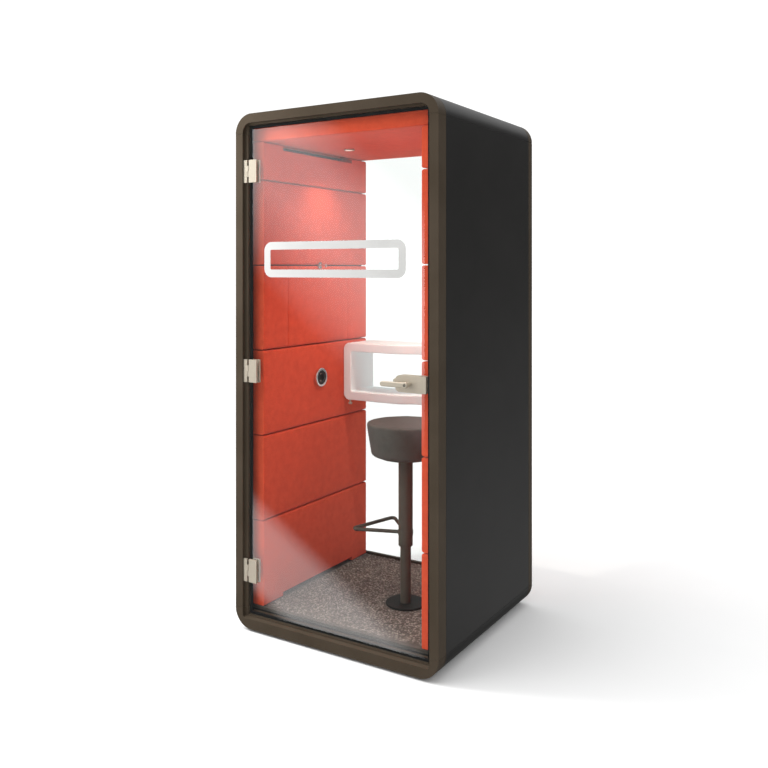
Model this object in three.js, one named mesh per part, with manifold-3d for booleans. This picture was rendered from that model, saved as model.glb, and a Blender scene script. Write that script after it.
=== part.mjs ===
// One-person acoustic pod: a shell ring between two frames, a glass door, an upholstered cabin,
// a table loop and a stool. Millimetres, +Z up, the door faces -Y.
import * as THREE from "three";
import { mergeVertices } from "three/addons/utils/BufferGeometryUtils.js";
import Module from "manifold-3d";

const wasm = await Module();
wasm.setup();

// Shell
const SHELL_WIDTH = 1000;
const SHELL_DEPTH = 920;
const SHELL_HEIGHT = 2220;
const SHELL_CORNER_RADIUS = 85;
const SKIN_THICKNESS = 30;
const GLIDE_HEIGHT = 10;
const GLIDE_RADIUS = 25;
const GLIDE_INSET = 110;

// Clearances
const SEAT_GAP = 0.3;
const RUNNING_GAP = 0.3;
const JOINT_LINE = 0.6;

// Front and rear frames
const FRAME_FACE = 40;
const SILL_FACE = 44;
const FRONT_FRAME_DEPTH = 60;
const REAR_FRAME_DEPTH = 42;
const FRAME_TOP_CORNER = 40;
const FRAME_BOTTOM_CORNER = 14;

// Door rebate in the front frame
const REBATE_DEPTH = 14;
const HINGE_STRIP = 20;
const LATCH_STRIP = 8;
const HEAD_STRIP = 9;
const SILL_RISE = 12;
const STOP_WIDTH = 12;
const STOP_THICKNESS = 6;
const SILL_STOP_DEPTH = 22;
const SILL_BACK_DROP = 9;

// Glass
const DOOR_GLASS_THICKNESS = 12;
const DOOR_EDGE_GAP = 2;
const DOOR_CORNER_RADIUS = 12;
const DOOR_STOP_GAP = 0.5;
const REAR_GLASS_THICKNESS = 10;
const REAR_GLASS_SETBACK = 13;
const REAR_GLASS_EDGE_GAP = 4;
const REAR_BEAD_WIDTH = 14;
const REAR_BEAD_THICKNESS = 5;
const REAR_SILL_RISE = 9;

// Lining, floor and ceiling
const FLOOR_THICKNESS = 68;
const CARPET_THICKNESS = 15;
const LINING_THICKNESS = 80;
const FULL_ROW_COUNT = 5;
const TOP_ROW_SHARE = 168 / 371;
const PANEL_EDGE_RADIUS = 12;
const INSERT_ROW = 4;
const INSERT_WIDTH = 478;
const CEILING_THICKNESS = 30;
const CEILING_VOID = 54;
const FASCIA_THICKNESS = 20;
const FASCIA_RISE = 30;
const AIR_SLOT_LENGTH = 550;
const TOP_SLOT_HEIGHT = 26;
const FLOOR_SLOT_HEIGHT = 15;
const DUCT_WIDTH = 40;
const DUCT_END_INSET = 20;

// Ceiling spots and fan
const SPOT_SPACING = 444;
const SPOT_RADIUS = 25;
const SPOT_HEIGHT = 6;
const SPOT_LENS_RADIUS = 19;
const SPOT_LENS_RECESS = 2;
const FAN_SIZE = 120;
const FAN_THICKNESS = 25;
const FAN_BORE_RADIUS = 56;
const FAN_HUB_RADIUS = 20;
const FAN_HUB_HEIGHT = 16;
const FAN_BLADE_COUNT = 7;
const FAN_BLADE_HEIGHT = 13;
const FAN_BLADE_THICKNESS = 2;
const FAN_BLADE_PITCH = 0.6;
const FAN_TIP_GAP = 2;
const FAN_STRUT_WIDTH = 6;
const FAN_STRUT_HEIGHT = 3;
const FAN_SPINDLE_RADIUS = 2.5;
const ROOF_OUTLET_RADIUS = 52;

// Door hinges
const HINGE_HEIGHT = 98;
const HINGE_SPACING = 862;
const HINGE_LEAF_THICKNESS = 8;
const HINGE_CLAMP_WIDTH = 42;
const HINGE_SLIT_HALF = 5;
const HINGE_KNUCKLE_RADIUS = 4.5;
const HINGE_KNUCKLE_HEIGHT = 24;
const HINGE_PIN_RADIUS = 2.5;
const HINGE_AXIS_PROUD = 5;
const HINGE_AXIS_INSET = 4;
const HINGE_CORE_WIDTH = 18;
const HINGE_CORE_HEIGHT = 60;
const HINGE_CORE_INSET = 14;

// Lock, lever and strike
const LOCK_CENTRE_HEIGHT = 1120;
const LOCK_LENGTH = 135;
const LOCK_HEIGHT = 65;
const LOCK_PLATE_THICKNESS = 12;
const LOCK_END_RADIUS = 20;
const LOCK_EDGE_INSET = 6;
const LOCK_CORE_LENGTH = 92;
const LOCK_CORE_HEIGHT = 42;
const LEVER_AXIS_INSET = 72;
const LEVER_LENGTH = 110;
const LEVER_HEIGHT = 20;
const LEVER_THICKNESS = 14;
const LEVER_HUB_RADIUS = 12;
const LEVER_NECK_RADIUS = 9;
const LEVER_STANDOFF = 25;
const SPINDLE_RADIUS = 5;
const SPINDLE_GRIP = 18;
const BOLT_HEIGHT = 20;
const BOLT_THICKNESS = 8;
const BOLT_LENGTH = 62;
const BOLT_THROW = 10;
const BOLT_REACH = 14.5;
const STRIKE_HEIGHT = 75;
const STRIKE_PROUD = 10;

// Table loop and bag hook
const TABLE_DEPTH = 209;
const TABLE_TOP_HEIGHT = 1196;
const TABLE_LOOP_HEIGHT = 281;
const TABLE_BOARD = 43;
const TABLE_CORNER_RADIUS = 32;
const TABLE_BAY_DEPTH = 43;
const TABLE_BAY_HALF_WIDTH = 84;
const TABLE_BAY_EASE = 140;
const TABLE_BACK_GAP = 2;
const BAG_HOOK_RADIUS = 10;
const BAG_HOOK_STEM_RADIUS = 5;
const BAG_HOOK_KNOB_HEIGHT = 11;
const BAG_HOOK_BEVEL = 3;
const BAG_HOOK_DROP = 22;
const BAG_HOOK_INSET = 8;

// Coat hook and socket on the left wall
const COAT_HOOK_REACH = 41;
const COAT_HOOK_BASE_RADIUS = 16;
const COAT_HOOK_BASE_THICKNESS = 4;
const COAT_HOOK_STEM_RADIUS = 5;
const COAT_HOOK_HEAD_RADIUS = 9;
const COAT_HOOK_HEAD_LENGTH = 8;
const COAT_HOOK_HEAD_BEVEL = 2.7;
const COAT_HOOK_SEAM = 4;
const SOCKET_HEIGHT = 1046;
const SOCKET_RADIUS = 45;
const SOCKET_RING_WIDTH = 11;
const SOCKET_PROUD = 13;
const SOCKET_FACE_RECESS = 3;

// Stool
const STOOL_OFFSET_X = 114;
const STOOL_OFFSET_Y = -54;
const STOOL_FLANGE_RADIUS = 87.5;
const STOOL_FLANGE_THICKNESS = 8;
const STOOL_POST_RADIUS = 23.5;
const STOOL_POST_HEIGHT = 427;
const STOOL_SLEEVE_RADIUS = 31.5;
const STOOL_SLEEVE_START = 255;
const STOOL_SLEEVE_LENGTH = 387;
const STOOL_SLEEVE_CHAMFER = 7;
const STOOL_SLEEVE_CAP = 45;
const STOOL_PAN_RADIUS = 115;
const STOOL_PAN_THICKNESS = 8;
const STOOL_PIVOT_RADIUS = 12;
const STOOL_PIVOT_LENGTH = 32;
const SEAT_HEIGHT = 144;
const SEAT_TOP_RADIUS = 172.5;
const SEAT_BOTTOM_RADIUS = 153;
const SEAT_TOP_ROUND = 14;
const SEAT_BOTTOM_ROUND = 20;
const FOOTREST_HEIGHT = 313;
const FOOTREST_ROD_RADIUS = 8;
const FOOTREST_BEND = 26;
const FOOTREST_COLLAR_HEIGHT = 22;
const FOOTREST_COLLAR_WALL = 2;
const FOOTREST_FRONT_CORNER_LEFT = 230;
const FOOTREST_FRONT_CORNER_AHEAD = 85;
const FOOTREST_REAR_CORNER_LEFT = 161;
const FOOTREST_REAR_CORNER_BEHIND = 168;

// Roundness of arcs and turned pieces
const ARC_STEPS = 7;
const TURN_STEPS = 20;
const SEAT_TURN_STEPS = 28;
const SEAT_EDGE_STEPS = 3;
const ROD_SIDES = 8;
const FOOTREST_STEPS = 48;
const MERGE_DISTANCE = 1e-4;
const OVERCUT = 1;

// Planes and edges that the pieces share
const shellRight = SHELL_WIDTH / 2;
const shellLeft = -shellRight;
const shellBack = SHELL_DEPTH / 2;
const shellFront = -shellBack;
const shellBottom = GLIDE_HEIGHT;
const shellTop = shellBottom + SHELL_HEIGHT;
const upperSplit = shellTop - SHELL_CORNER_RADIUS;
const lowerSplit = shellBottom + SHELL_CORNER_RADIUS;
const bayFront = shellFront + FRONT_FRAME_DEPTH;
const bayBack = shellBack - REAR_FRAME_DEPTH;
const bayMiddle = (bayFront + bayBack) / 2;
const skinInside = shellRight - SKIN_THICKNESS;
const liningFace = skinInside - LINING_THICKNESS;
const floorTop = shellBottom + FLOOR_THICKNESS;
const carpetTop = floorTop + CARPET_THICKNESS;
const roofUnder = shellTop - SKIN_THICKNESS;
const ceilingTop = roofUnder - CEILING_VOID;
const ceilingUnder = ceilingTop - CEILING_THICKNESS;

const lipHole = {
  left: shellLeft + FRAME_FACE,
  right: shellRight - FRAME_FACE,
  bottom: shellBottom + SILL_FACE,
  top: shellTop - FRAME_FACE,
};
const stripHole = {
  left: lipHole.left + HINGE_STRIP,
  right: lipHole.right - LATCH_STRIP,
  bottom: lipHole.bottom + SILL_RISE,
  top: lipHole.top - HEAD_STRIP,
};
const stopHole = inset(stripHole, STOP_WIDTH);
const doorEdge = inset(stripHole, DOOR_EDGE_GAP);
const doorFront = shellFront + REBATE_DEPTH;
const doorBack = doorFront + DOOR_GLASS_THICKNESS;
const stopFront = doorBack + DOOR_STOP_GAP;
const stopBack = stopFront + STOP_THICKNESS;

const leverX = doorEdge.right - LOCK_EDGE_INSET - LEVER_AXIS_INSET;
const lockFront = doorFront - LOCK_PLATE_THICKNESS;
const lockBack = doorBack + LOCK_PLATE_THICKNESS;
const leverFront = lockFront - LEVER_STANDOFF - LEVER_THICKNESS;
const leverProud = shellFront - leverFront;
const strike = {
  left: stripHole.right,
  front: doorFront - STRIKE_PROUD,
  back: stopBack - SEAT_GAP,
  bottom: LOCK_CENTRE_HEIGHT - STRIKE_HEIGHT / 2,
  top: LOCK_CENTRE_HEIGHT + STRIKE_HEIGHT / 2,
};

const hinge = {
  x: stripHole.left + HINGE_AXIS_INSET,
  y: doorFront - HINGE_AXIS_PROUD,
  middle: (shellBottom + shellTop) / 2,
};

// Finishes
const BRONZE = { color: 0x6b6055, roughness: 0.5, metalness: 0.4 };
const DARK_SKIN = { color: 0x262524, roughness: 0.45, metalness: 0.1 };
const ORANGE_FELT = { color: 0xc8482c, roughness: 0.95, metalness: 0 };
const CARPET_GREY = { color: 0x6a6058, roughness: 1, metalness: 0 };
const CLEAR_GLASS = { color: 0xe8f0ee, roughness: 0.05, metalness: 0, opacity: 0.3, transparent: true };
const SATIN_NICKEL = { color: 0xd2c6b2, roughness: 0.35, metalness: 0.9 };
const POLISHED = { color: 0xd8d8d8, roughness: 0.12, metalness: 1 };
const BLACK_METAL = { color: 0x1a1a1a, roughness: 0.5, metalness: 0.5 };
const TABLE_WHITE = { color: 0xf0efec, roughness: 0.4, metalness: 0 };
const STOOL_METAL = { color: 0x4a443d, roughness: 0.45, metalness: 0.4 };
const STOOL_FABRIC = { color: 0x4b4742, roughness: 0.95, metalness: 0 };
const BLACK_PLASTIC = { color: 0x1c1d1e, roughness: 0.5, metalness: 0 };
const RUBBER = { color: 0x161616, roughness: 0.9, metalness: 0 };

// An opening made smaller by the same amount on every side.
function inset(hole, amount) {
  return {
    left: hole.left + amount,
    right: hole.right - amount,
    bottom: hole.bottom + amount,
    top: hole.top - amount,
  };
}

// A box between its low and high corners.
function block(low, high) {
  const size = high.map((value, axis) => value - low[axis]);
  const middle = high.map((value, axis) => (value + low[axis]) / 2);
  return new THREE.BoxGeometry(...size).translate(...middle);
}

function polygon(points) {
  return new THREE.Shape(points.map(([u, v]) => new THREE.Vector2(u, v)));
}

// A rectangle whose corners have the radii bottom left, bottom right, top right, top left.
function roundedRectangle({ left, right, bottom, top }, [lowLeft, lowRight, highRight, highLeft]) {
  const quarter = Math.PI / 2;
  const outline = new THREE.Shape();
  outline.moveTo(left, top - highLeft);
  outline.lineTo(left, bottom + lowLeft);
  if (lowLeft) outline.absarc(left + lowLeft, bottom + lowLeft, lowLeft, 2 * quarter, 3 * quarter);
  outline.lineTo(right - lowRight, bottom);
  if (lowRight) outline.absarc(right - lowRight, bottom + lowRight, lowRight, 3 * quarter, 4 * quarter);
  outline.lineTo(right, top - highRight);
  if (highRight) outline.absarc(right - highRight, top - highRight, highRight, 0, quarter);
  outline.lineTo(left + highLeft, top);
  if (highLeft) outline.absarc(left + highLeft, top - highLeft, highLeft, quarter, 2 * quarter);
  return outline;
}

const AXES = {
  x: new THREE.Vector3(1, 0, 0),
  y: new THREE.Vector3(0, 1, 0),
  z: new THREE.Vector3(0, 0, 1),
};
const PUSHED_ALONG = {
  x: new THREE.Matrix4().makeBasis(AXES.y, AXES.z, AXES.x),
  y: new THREE.Matrix4().makeBasis(AXES.x, AXES.z, AXES.y.clone().negate()),
  z: new THREE.Matrix4(),
};

// An outline pushed along an axis: a (Y, Z) outline along x, (X, Z) along y, (X, Y) along z.
function prism(axis, outline, from, to) {
  const geometry = new THREE.ExtrudeGeometry(outline, {
    depth: to - from,
    bevelEnabled: false,
    curveSegments: ARC_STEPS,
  });
  const start = { x: [from, 0, 0], y: [0, to, 0], z: [0, 0, from] }[axis];
  return geometry.applyMatrix4(PUSHED_ALONG[axis]).translate(...start);
}

// A profile of [radius, height] points, from the foot of the axis to its head, turned round Z.
function turned(profile, steps = TURN_STEPS) {
  const points = profile.map(([radius, height]) => new THREE.Vector2(radius, height));
  return new THREE.LatheGeometry(points, steps).rotateX(Math.PI / 2);
}

function cylinder(radius, from, to, steps = TURN_STEPS) {
  return turned([[0, from], [radius, from], [radius, to], [0, to]], steps);
}

// Points of a quarter arc between two angles, for turned profiles.
function arcPoints(centre, radius, fromAngle, toAngle, steps) {
  return Array.from({ length: steps + 1 }, (_, step) => {
    const angle = fromAngle + ((toAngle - fromAngle) * step) / steps;
    return [centre[0] + radius * Math.cos(angle), centre[1] + radius * Math.sin(angle)];
  });
}

function solid(geometry) {
  const bare = geometry.clone();
  bare.deleteAttribute("normal");
  bare.deleteAttribute("uv");
  const merged = mergeVertices(bare, MERGE_DISTANCE);
  const triVerts = new Uint32Array(merged.index.array);
  return new wasm.Manifold(
    new wasm.Mesh({ numProp: 3, vertProperties: merged.attributes.position.array, triVerts }),
  );
}

function geometryOf(body) {
  const mesh = body.getMesh();
  const geometry = new THREE.BufferGeometry();
  geometry.setAttribute("position", new THREE.BufferAttribute(mesh.vertProperties, 3));
  geometry.setIndex(new THREE.BufferAttribute(mesh.triVerts, 1));
  geometry.computeVertexNormals();
  return geometry;
}

function join(...pieces) {
  return geometryOf(pieces.map(solid).reduce((whole, piece) => whole.add(piece)));
}

function cut(piece, ...tools) {
  return geometryOf(tools.map(solid).reduce((rest, tool) => rest.subtract(tool), solid(piece)));
}

function keep(piece, region) {
  return geometryOf(solid(piece).intersect(solid(region)));
}

function place(parent, name, geometry, finish) {
  const mesh = new THREE.Mesh(geometry, new THREE.MeshStandardMaterial(finish));
  mesh.name = name;
  parent.add(mesh);
}

function groupAt(parent, x, y, z) {
  const group = new THREE.Group();
  group.position.set(x, y, z);
  parent.add(group);
  return group;
}

// The object's origin lies under the middle of its box, which the lever lengthens towards the front.
const pod = new THREE.Group();
const cabin = groupAt(pod, 0, leverProud / 2, 0);

// Outline of the shell ring, and of the clear opening in a frame lip.
const shellEdge = { left: shellLeft, right: shellRight, bottom: shellBottom, top: shellTop };
const shellRadii = [SHELL_CORNER_RADIUS, SHELL_CORNER_RADIUS, SHELL_CORNER_RADIUS, SHELL_CORNER_RADIUS];
const lipRadii = [FRAME_BOTTOM_CORNER, FRAME_BOTTOM_CORNER, FRAME_TOP_CORNER, FRAME_TOP_CORNER];
const SQUARE = [0, 0, 0, 0];

// A frame between an outer edge and a hole, pushed along Y.
function ring(outer, outerRadii, hole, holeRadii, from, to) {
  const outline = roundedRectangle(outer, outerRadii);
  outline.holes.push(roundedRectangle(hole, holeRadii));
  return prism("y", outline, from, to);
}

// A whole frame parts into a top and a bottom member that carry the corners, and two stiles.
function frameMembers(prefix, whole, notches = []) {
  const wide = SHELL_WIDTH;
  const reach = SHELL_DEPTH;
  const regions = {
    top: block([-wide, -reach, upperSplit + JOINT_LINE / 2], [wide, reach, shellTop + OVERCUT]),
    bottom: block([-wide, -reach, shellBottom - OVERCUT], [wide, reach, lowerSplit - JOINT_LINE / 2]),
    left: block([-wide, -reach, lowerSplit + JOINT_LINE / 2], [0, reach, upperSplit - JOINT_LINE / 2]),
    right: block([0, -reach, lowerSplit + JOINT_LINE / 2], [wide, reach, upperSplit - JOINT_LINE / 2]),
  };
  const notched = notches.length ? cut(whole, ...notches) : whole;
  for (const [side, region] of Object.entries(regions)) {
    place(cabin, `${prefix}_${side}`, keep(notched, region), BRONZE);
  }
}

function frontFrame() {
  const lip = ring(shellEdge, shellRadii, lipHole, lipRadii, shellFront, bayFront);
  const strip = ring(inset(lipHole, -OVERCUT), SQUARE, stripHole, SQUARE, doorFront, stopBack);
  const stop = ring(inset(stripHole, -OVERCUT), SQUARE, stopHole, SQUARE, stopFront, stopBack);
  const sillStopBack = stopFront + SILL_STOP_DEPTH;
  const sillBackTop = stopHole.bottom - SILL_BACK_DROP;
  const sillProfile = polygon([
    [shellFront, lipHole.bottom - OVERCUT],
    [bayFront, lipHole.bottom - OVERCUT],
    [bayFront, sillBackTop],
    [sillStopBack, sillBackTop],
    [sillStopBack, stopHole.bottom],
    [stopFront, stopHole.bottom],
    [stopFront, stripHole.bottom],
    [shellFront, lipHole.bottom],
  ]);
  const sill = prism("x", sillProfile, lipHole.left - OVERCUT, lipHole.right + OVERCUT);
  const strikeSeat = block(
    [strike.left - OVERCUT, strike.front, strike.bottom - SEAT_GAP],
    [lipHole.right, stopBack + OVERCUT, strike.top + SEAT_GAP],
  );
  frameMembers("front_frame", join(lip, strip, stop, sill), [strikeSeat]);
}

// The rear glass sits in a groove between an outer fin and an inner bead.
const rearGlassEdge = inset(lipHole, REAR_GLASS_EDGE_GAP);
const rearGlassBack = shellBack - REAR_GLASS_SETBACK;
const rearGlassFront = rearGlassBack - REAR_GLASS_THICKNESS;

function rearFrame() {
  const beadHole = inset(lipHole, REAR_BEAD_WIDTH);
  const sillHole = { ...beadHole, bottom: carpetTop + REAR_SILL_RISE };
  const around = inset(lipHole, -OVERCUT);
  const finFront = rearGlassBack + SEAT_GAP;
  const beadBack = rearGlassFront - SEAT_GAP;
  const lip = ring(shellEdge, shellRadii, lipHole, lipRadii, bayBack, shellBack);
  const fin = ring(around, SQUARE, beadHole, SQUARE, finFront, finFront + REAR_BEAD_THICKNESS);
  const bead = ring(around, SQUARE, sillHole, SQUARE, bayBack, beadBack);
  frameMembers("rear_frame", join(lip, fin, bead));
}

function rearGlass() {
  const radii = lipRadii.map((radius) => Math.max(radius - REAR_GLASS_EDGE_GAP, 0));
  const pane = prism("y", roundedRectangle(rearGlassEdge, radii), rearGlassFront, rearGlassBack);
  place(cabin, "rear_glass", pane, CLEAR_GLASS);
}

function shell() {
  const front = bayFront + SEAT_GAP;
  const back = bayBack - SEAT_GAP;
  const whole = ring(shellEdge, shellRadii, {
    left: -skinInside,
    right: skinInside,
    bottom: floorTop,
    top: roofUnder,
  }, SQUARE, front, back);
  const low = lowerSplit - JOINT_LINE / 2;
  const high = upperSplit + JOINT_LINE / 2;
  const baseRegion = block([-SHELL_WIDTH, front, 0], [SHELL_WIDTH, back, low]);
  const roofRegion = block([-SHELL_WIDTH, front, high], [SHELL_WIDTH, back, shellTop + OVERCUT]);
  const outlet = cylinder(ROOF_OUTLET_RADIUS, roofUnder - OVERCUT, shellTop + OVERCUT);
  outlet.translate(0, bayMiddle, 0);
  place(cabin, "base_tray", keep(whole, baseRegion), DARK_SKIN);
  place(cabin, "roof_panel", cut(keep(whole, roofRegion), outlet), DARK_SKIN);
  const sideLow = lowerSplit + JOINT_LINE / 2;
  const sideHigh = upperSplit - JOINT_LINE / 2;
  const leftSkin = block([shellLeft, front, sideLow], [-skinInside, back, sideHigh]);
  const rightSkin = block([skinInside, front, sideLow], [shellRight, back, sideHigh]);
  place(cabin, "side_panel_left", leftSkin, DARK_SKIN);
  place(cabin, "side_panel_right", rightSkin, DARK_SKIN);
}

function glides() {
  const spots = {
    front_left: [shellLeft + GLIDE_INSET, shellFront + GLIDE_INSET],
    front_right: [shellRight - GLIDE_INSET, shellFront + GLIDE_INSET],
    rear_left: [shellLeft + GLIDE_INSET, shellBack - GLIDE_INSET],
    rear_right: [shellRight - GLIDE_INSET, shellBack - GLIDE_INSET],
  };
  for (const [corner, [x, y]] of Object.entries(spots)) {
    place(groupAt(cabin, x, y, 0), `glide_${corner}`, cylinder(GLIDE_RADIUS, 0, GLIDE_HEIGHT), RUBBER);
  }
}

function carpet() {
  const side = skinInside - SEAT_GAP;
  const pile = block([-side, bayFront + SEAT_GAP, floorTop], [side, bayBack - SEAT_GAP, carpetTop]);
  place(cabin, "carpet", pile, CARPET_GREY);
}

// Heights of the seams between the rows of wall panels, with the floor and the ceiling. The row under the
// ceiling is a short one, and keeps its share of the height of a full row.
function seamHeights() {
  const rowHeight = (ceilingUnder - carpetTop) / (FULL_ROW_COUNT + TOP_ROW_SHARE);
  const tops = Array.from({ length: FULL_ROW_COUNT }, (_, row) => carpetTop + (row + 1) * rowHeight);
  return [carpetTop, ...tops, ceilingUnder];
}
const seams = seamHeights();

// One upholstered panel on a side wall: flat towards the skin, rounded edges towards the room.
function wallPanel(side, low, high, front, back) {
  const backFace = side * (skinInside - SEAT_GAP);
  const edges = {
    left: Math.min(backFace, side * liningFace),
    right: Math.max(backFace, side * liningFace),
    bottom: low,
    top: high,
  };
  const round = PANEL_EDGE_RADIUS;
  const radii = side < 0 ? [0, round, round, 0] : [round, 0, 0, round];
  return prism("y", roundedRectangle(edges, radii), front, back);
}

function walls() {
  const front = bayFront + SEAT_GAP;
  const back = bayBack - SEAT_GAP;
  const slotFront = bayMiddle - AIR_SLOT_LENGTH / 2;
  const slotBack = bayMiddle + AIR_SLOT_LENGTH / 2;
  const insertFront = bayMiddle - INSERT_WIDTH / 2;
  const insertBack = bayMiddle + INSERT_WIDTH / 2;
  const floorSlot = block(
    [-skinInside, slotFront, carpetTop - OVERCUT],
    [-liningFace + OVERCUT, slotBack, carpetTop + FLOOR_SLOT_HEIGHT],
  );
  const topSlot = block(
    [-skinInside, slotFront, ceilingUnder - TOP_SLOT_HEIGHT],
    [-liningFace + OVERCUT, slotBack, ceilingUnder + OVERCUT],
  );
  const rows = seams.length - 1;
  for (let row = 1; row <= rows; row += 1) {
    const low = seams[row - 1] + SEAT_GAP;
    const high = seams[row] - SEAT_GAP;
    place(cabin, `wall_right_${row}`, wallPanel(1, low, high, front, back), ORANGE_FELT);
    if (row === INSERT_ROW) {
      const pieces = {
        front: [front, insertFront - SEAT_GAP],
        insert: [insertFront, insertBack],
        rear: [insertBack + SEAT_GAP, back],
      };
      for (const [part, [from, to]] of Object.entries(pieces)) {
        place(cabin, `wall_left_${row}_${part}`, wallPanel(-1, low, high, from, to), ORANGE_FELT);
      }
      continue;
    }
    let panel = wallPanel(-1, low, high, front, back);
    if (row === 1) panel = cut(panel, floorSlot);
    if (row === rows) panel = cut(panel, topSlot);
    place(cabin, `wall_left_${row}`, panel, ORANGE_FELT);
  }
}

// The ceiling has a raised fascia behind the front frame, and a duct over the top air slot.
function ceiling() {
  const front = bayFront + SEAT_GAP;
  const back = bayBack - SEAT_GAP;
  const side = skinInside - SEAT_GAP;
  const profile = polygon([
    [front, ceilingUnder],
    [back, ceilingUnder],
    [back, ceilingTop],
    [front + FASCIA_THICKNESS, ceilingTop],
    [front + FASCIA_THICKNESS, ceilingTop + FASCIA_RISE],
    [front, ceilingTop + FASCIA_RISE],
  ]);
  const ductHalf = AIR_SLOT_LENGTH / 2 - DUCT_END_INSET;
  const duct = block(
    [-liningFace - DUCT_WIDTH - DUCT_END_INSET, bayMiddle - ductHalf, ceilingUnder - OVERCUT],
    [-liningFace - DUCT_END_INSET, bayMiddle + ductHalf, ceilingTop + OVERCUT],
  );
  place(cabin, "ceiling_panel", cut(prism("x", profile, -side, side), duct), ORANGE_FELT);
}

function ceilingSpots() {
  const profile = [
    [0, SPOT_LENS_RECESS],
    [SPOT_LENS_RADIUS, SPOT_LENS_RECESS],
    [SPOT_LENS_RADIUS, 0],
    [SPOT_RADIUS, 0],
    [SPOT_RADIUS, SPOT_HEIGHT],
    [0, SPOT_HEIGHT],
  ];
  const height = ceilingUnder - SPOT_HEIGHT - SEAT_GAP;
  const places = { left: -SPOT_SPACING / 2, right: SPOT_SPACING / 2 };
  for (const [side, x] of Object.entries(places)) {
    place(groupAt(cabin, x, bayMiddle, height), `ceiling_spot_${side}`, turned(profile), SATIN_NICKEL);
  }
}

// The fan hangs under the roof outlet: its rotor turns on a spindle that four struts hold.
function fan() {
  const group = groupAt(cabin, 0, bayMiddle, roofUnder - SEAT_GAP - FAN_THICKNESS);
  const half = FAN_SIZE / 2;
  const edge = { left: -half, right: half, bottom: -half, top: half };
  const corner = half - FAN_BORE_RADIUS;
  const outline = roundedRectangle(edge, [corner, corner, corner, corner]);
  const bore = cylinder(FAN_BORE_RADIUS, -OVERCUT, FAN_THICKNESS + OVERCUT, SEAT_TURN_STEPS);
  const casing = cut(prism("z", outline, 0, FAN_THICKNESS), bore);
  const arm = FAN_BORE_RADIUS + OVERCUT;
  const strutHalf = FAN_STRUT_WIDTH / 2;
  const struts = [
    block([-arm, -strutHalf, 0], [arm, strutHalf, FAN_STRUT_HEIGHT]),
    block([-strutHalf, -arm, 0], [strutHalf, arm, FAN_STRUT_HEIGHT]),
  ];
  const hubPlate = cylinder(FAN_HUB_RADIUS, 0, FAN_STRUT_HEIGHT);
  const spindleTop = FAN_STRUT_HEIGHT + FAN_HUB_HEIGHT - FAN_BLADE_THICKNESS;
  const spindle = cylinder(FAN_SPINDLE_RADIUS, 0, spindleTop);
  place(group, "fan_housing", join(casing, ...struts, hubPlate, spindle), BLACK_PLASTIC);

  const hubLow = FAN_STRUT_HEIGHT + RUNNING_GAP;
  const hub = cylinder(FAN_HUB_RADIUS, hubLow, hubLow + FAN_HUB_HEIGHT);
  const tip = FAN_BORE_RADIUS - FAN_TIP_GAP;
  const blades = Array.from({ length: FAN_BLADE_COUNT }, (_, index) => {
    const root = FAN_HUB_RADIUS - FAN_BLADE_THICKNESS;
    const blade = new THREE.BoxGeometry(tip - root - FAN_TIP_GAP, FAN_BLADE_THICKNESS, FAN_BLADE_HEIGHT);
    blade.rotateX(FAN_BLADE_PITCH);
    blade.translate((tip + root) / 2, 0, hubLow + FAN_HUB_HEIGHT / 2);
    return blade.rotateZ((2 * Math.PI * index) / FAN_BLADE_COUNT);
  });
  const socket = cylinder(FAN_SPINDLE_RADIUS + RUNNING_GAP, hubLow - OVERCUT, spindleTop + RUNNING_GAP);
  place(group, "fan_rotor", cut(join(hub, ...blades), socket), BLACK_PLASTIC);
}

// Hinge heights measured from the middle of the shell.
const hingeHeights = { lower: -HINGE_SPACING, middle: 0, upper: HINGE_SPACING };

const clampLeft = hinge.x + HINGE_SLIT_HALF;
const clampCore = {
  left: clampLeft + HINGE_CORE_INSET,
  right: clampLeft + HINGE_CORE_INSET + HINGE_CORE_WIDTH,
};

// The leaf and its pin stand on the frame strip; the clamp grips the glass through a slot.
function hinges() {
  for (const [name, offset] of Object.entries(hingeHeights)) {
    const group = groupAt(cabin, hinge.x, hinge.y, hinge.middle + offset);
    const half = HINGE_HEIGHT / 2;
    const plateBack = doorFront - hinge.y - SEAT_GAP;
    const plateFront = plateBack - HINGE_LEAF_THICKNESS;
    const tabBack = HINGE_KNUCKLE_RADIUS - 2 * RUNNING_GAP;
    const leafLeft = lipHole.left - hinge.x + SEAT_GAP;
    const knuckle = HINGE_KNUCKLE_HEIGHT;
    const leaf = join(
      block([leafLeft, plateFront, -half], [-HINGE_SLIT_HALF, plateBack, half]),
      block([-HINGE_SLIT_HALF - OVERCUT, plateFront, 0], [0, tabBack, knuckle]),
      cylinder(HINGE_KNUCKLE_RADIUS, 0, knuckle),
      cylinder(HINGE_PIN_RADIUS, -knuckle, OVERCUT),
    );
    place(group, `hinge_leaf_${name}`, leaf, SATIN_NICKEL);

    const right = HINGE_SLIT_HALF + HINGE_CLAMP_WIDTH;
    const innerFront = doorBack - hinge.y + SEAT_GAP;
    const innerLeft = stopHole.left - hinge.x + DOOR_EDGE_GAP;
    const coreHalf = HINGE_CORE_HEIGHT / 2;
    const core = block(
      [clampCore.left - hinge.x, plateFront, -coreHalf],
      [clampCore.right - hinge.x, innerFront + OVERCUT, coreHalf],
    );
    const clamp = join(
      block([HINGE_SLIT_HALF, plateFront, -half], [right, plateBack, half]),
      core,
      block([innerLeft, innerFront, -half], [right, innerFront + HINGE_LEAF_THICKNESS, half]),
      block([0, plateFront, -knuckle], [HINGE_SLIT_HALF + OVERCUT, tabBack, -RUNNING_GAP]),
      cylinder(HINGE_KNUCKLE_RADIUS, -knuckle, -RUNNING_GAP),
    );
    const bore = cylinder(HINGE_PIN_RADIUS + RUNNING_GAP, -knuckle - OVERCUT, OVERCUT);
    place(group, `hinge_clamp_${name}`, cut(clamp, bore), SATIN_NICKEL);
  }
}

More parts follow.
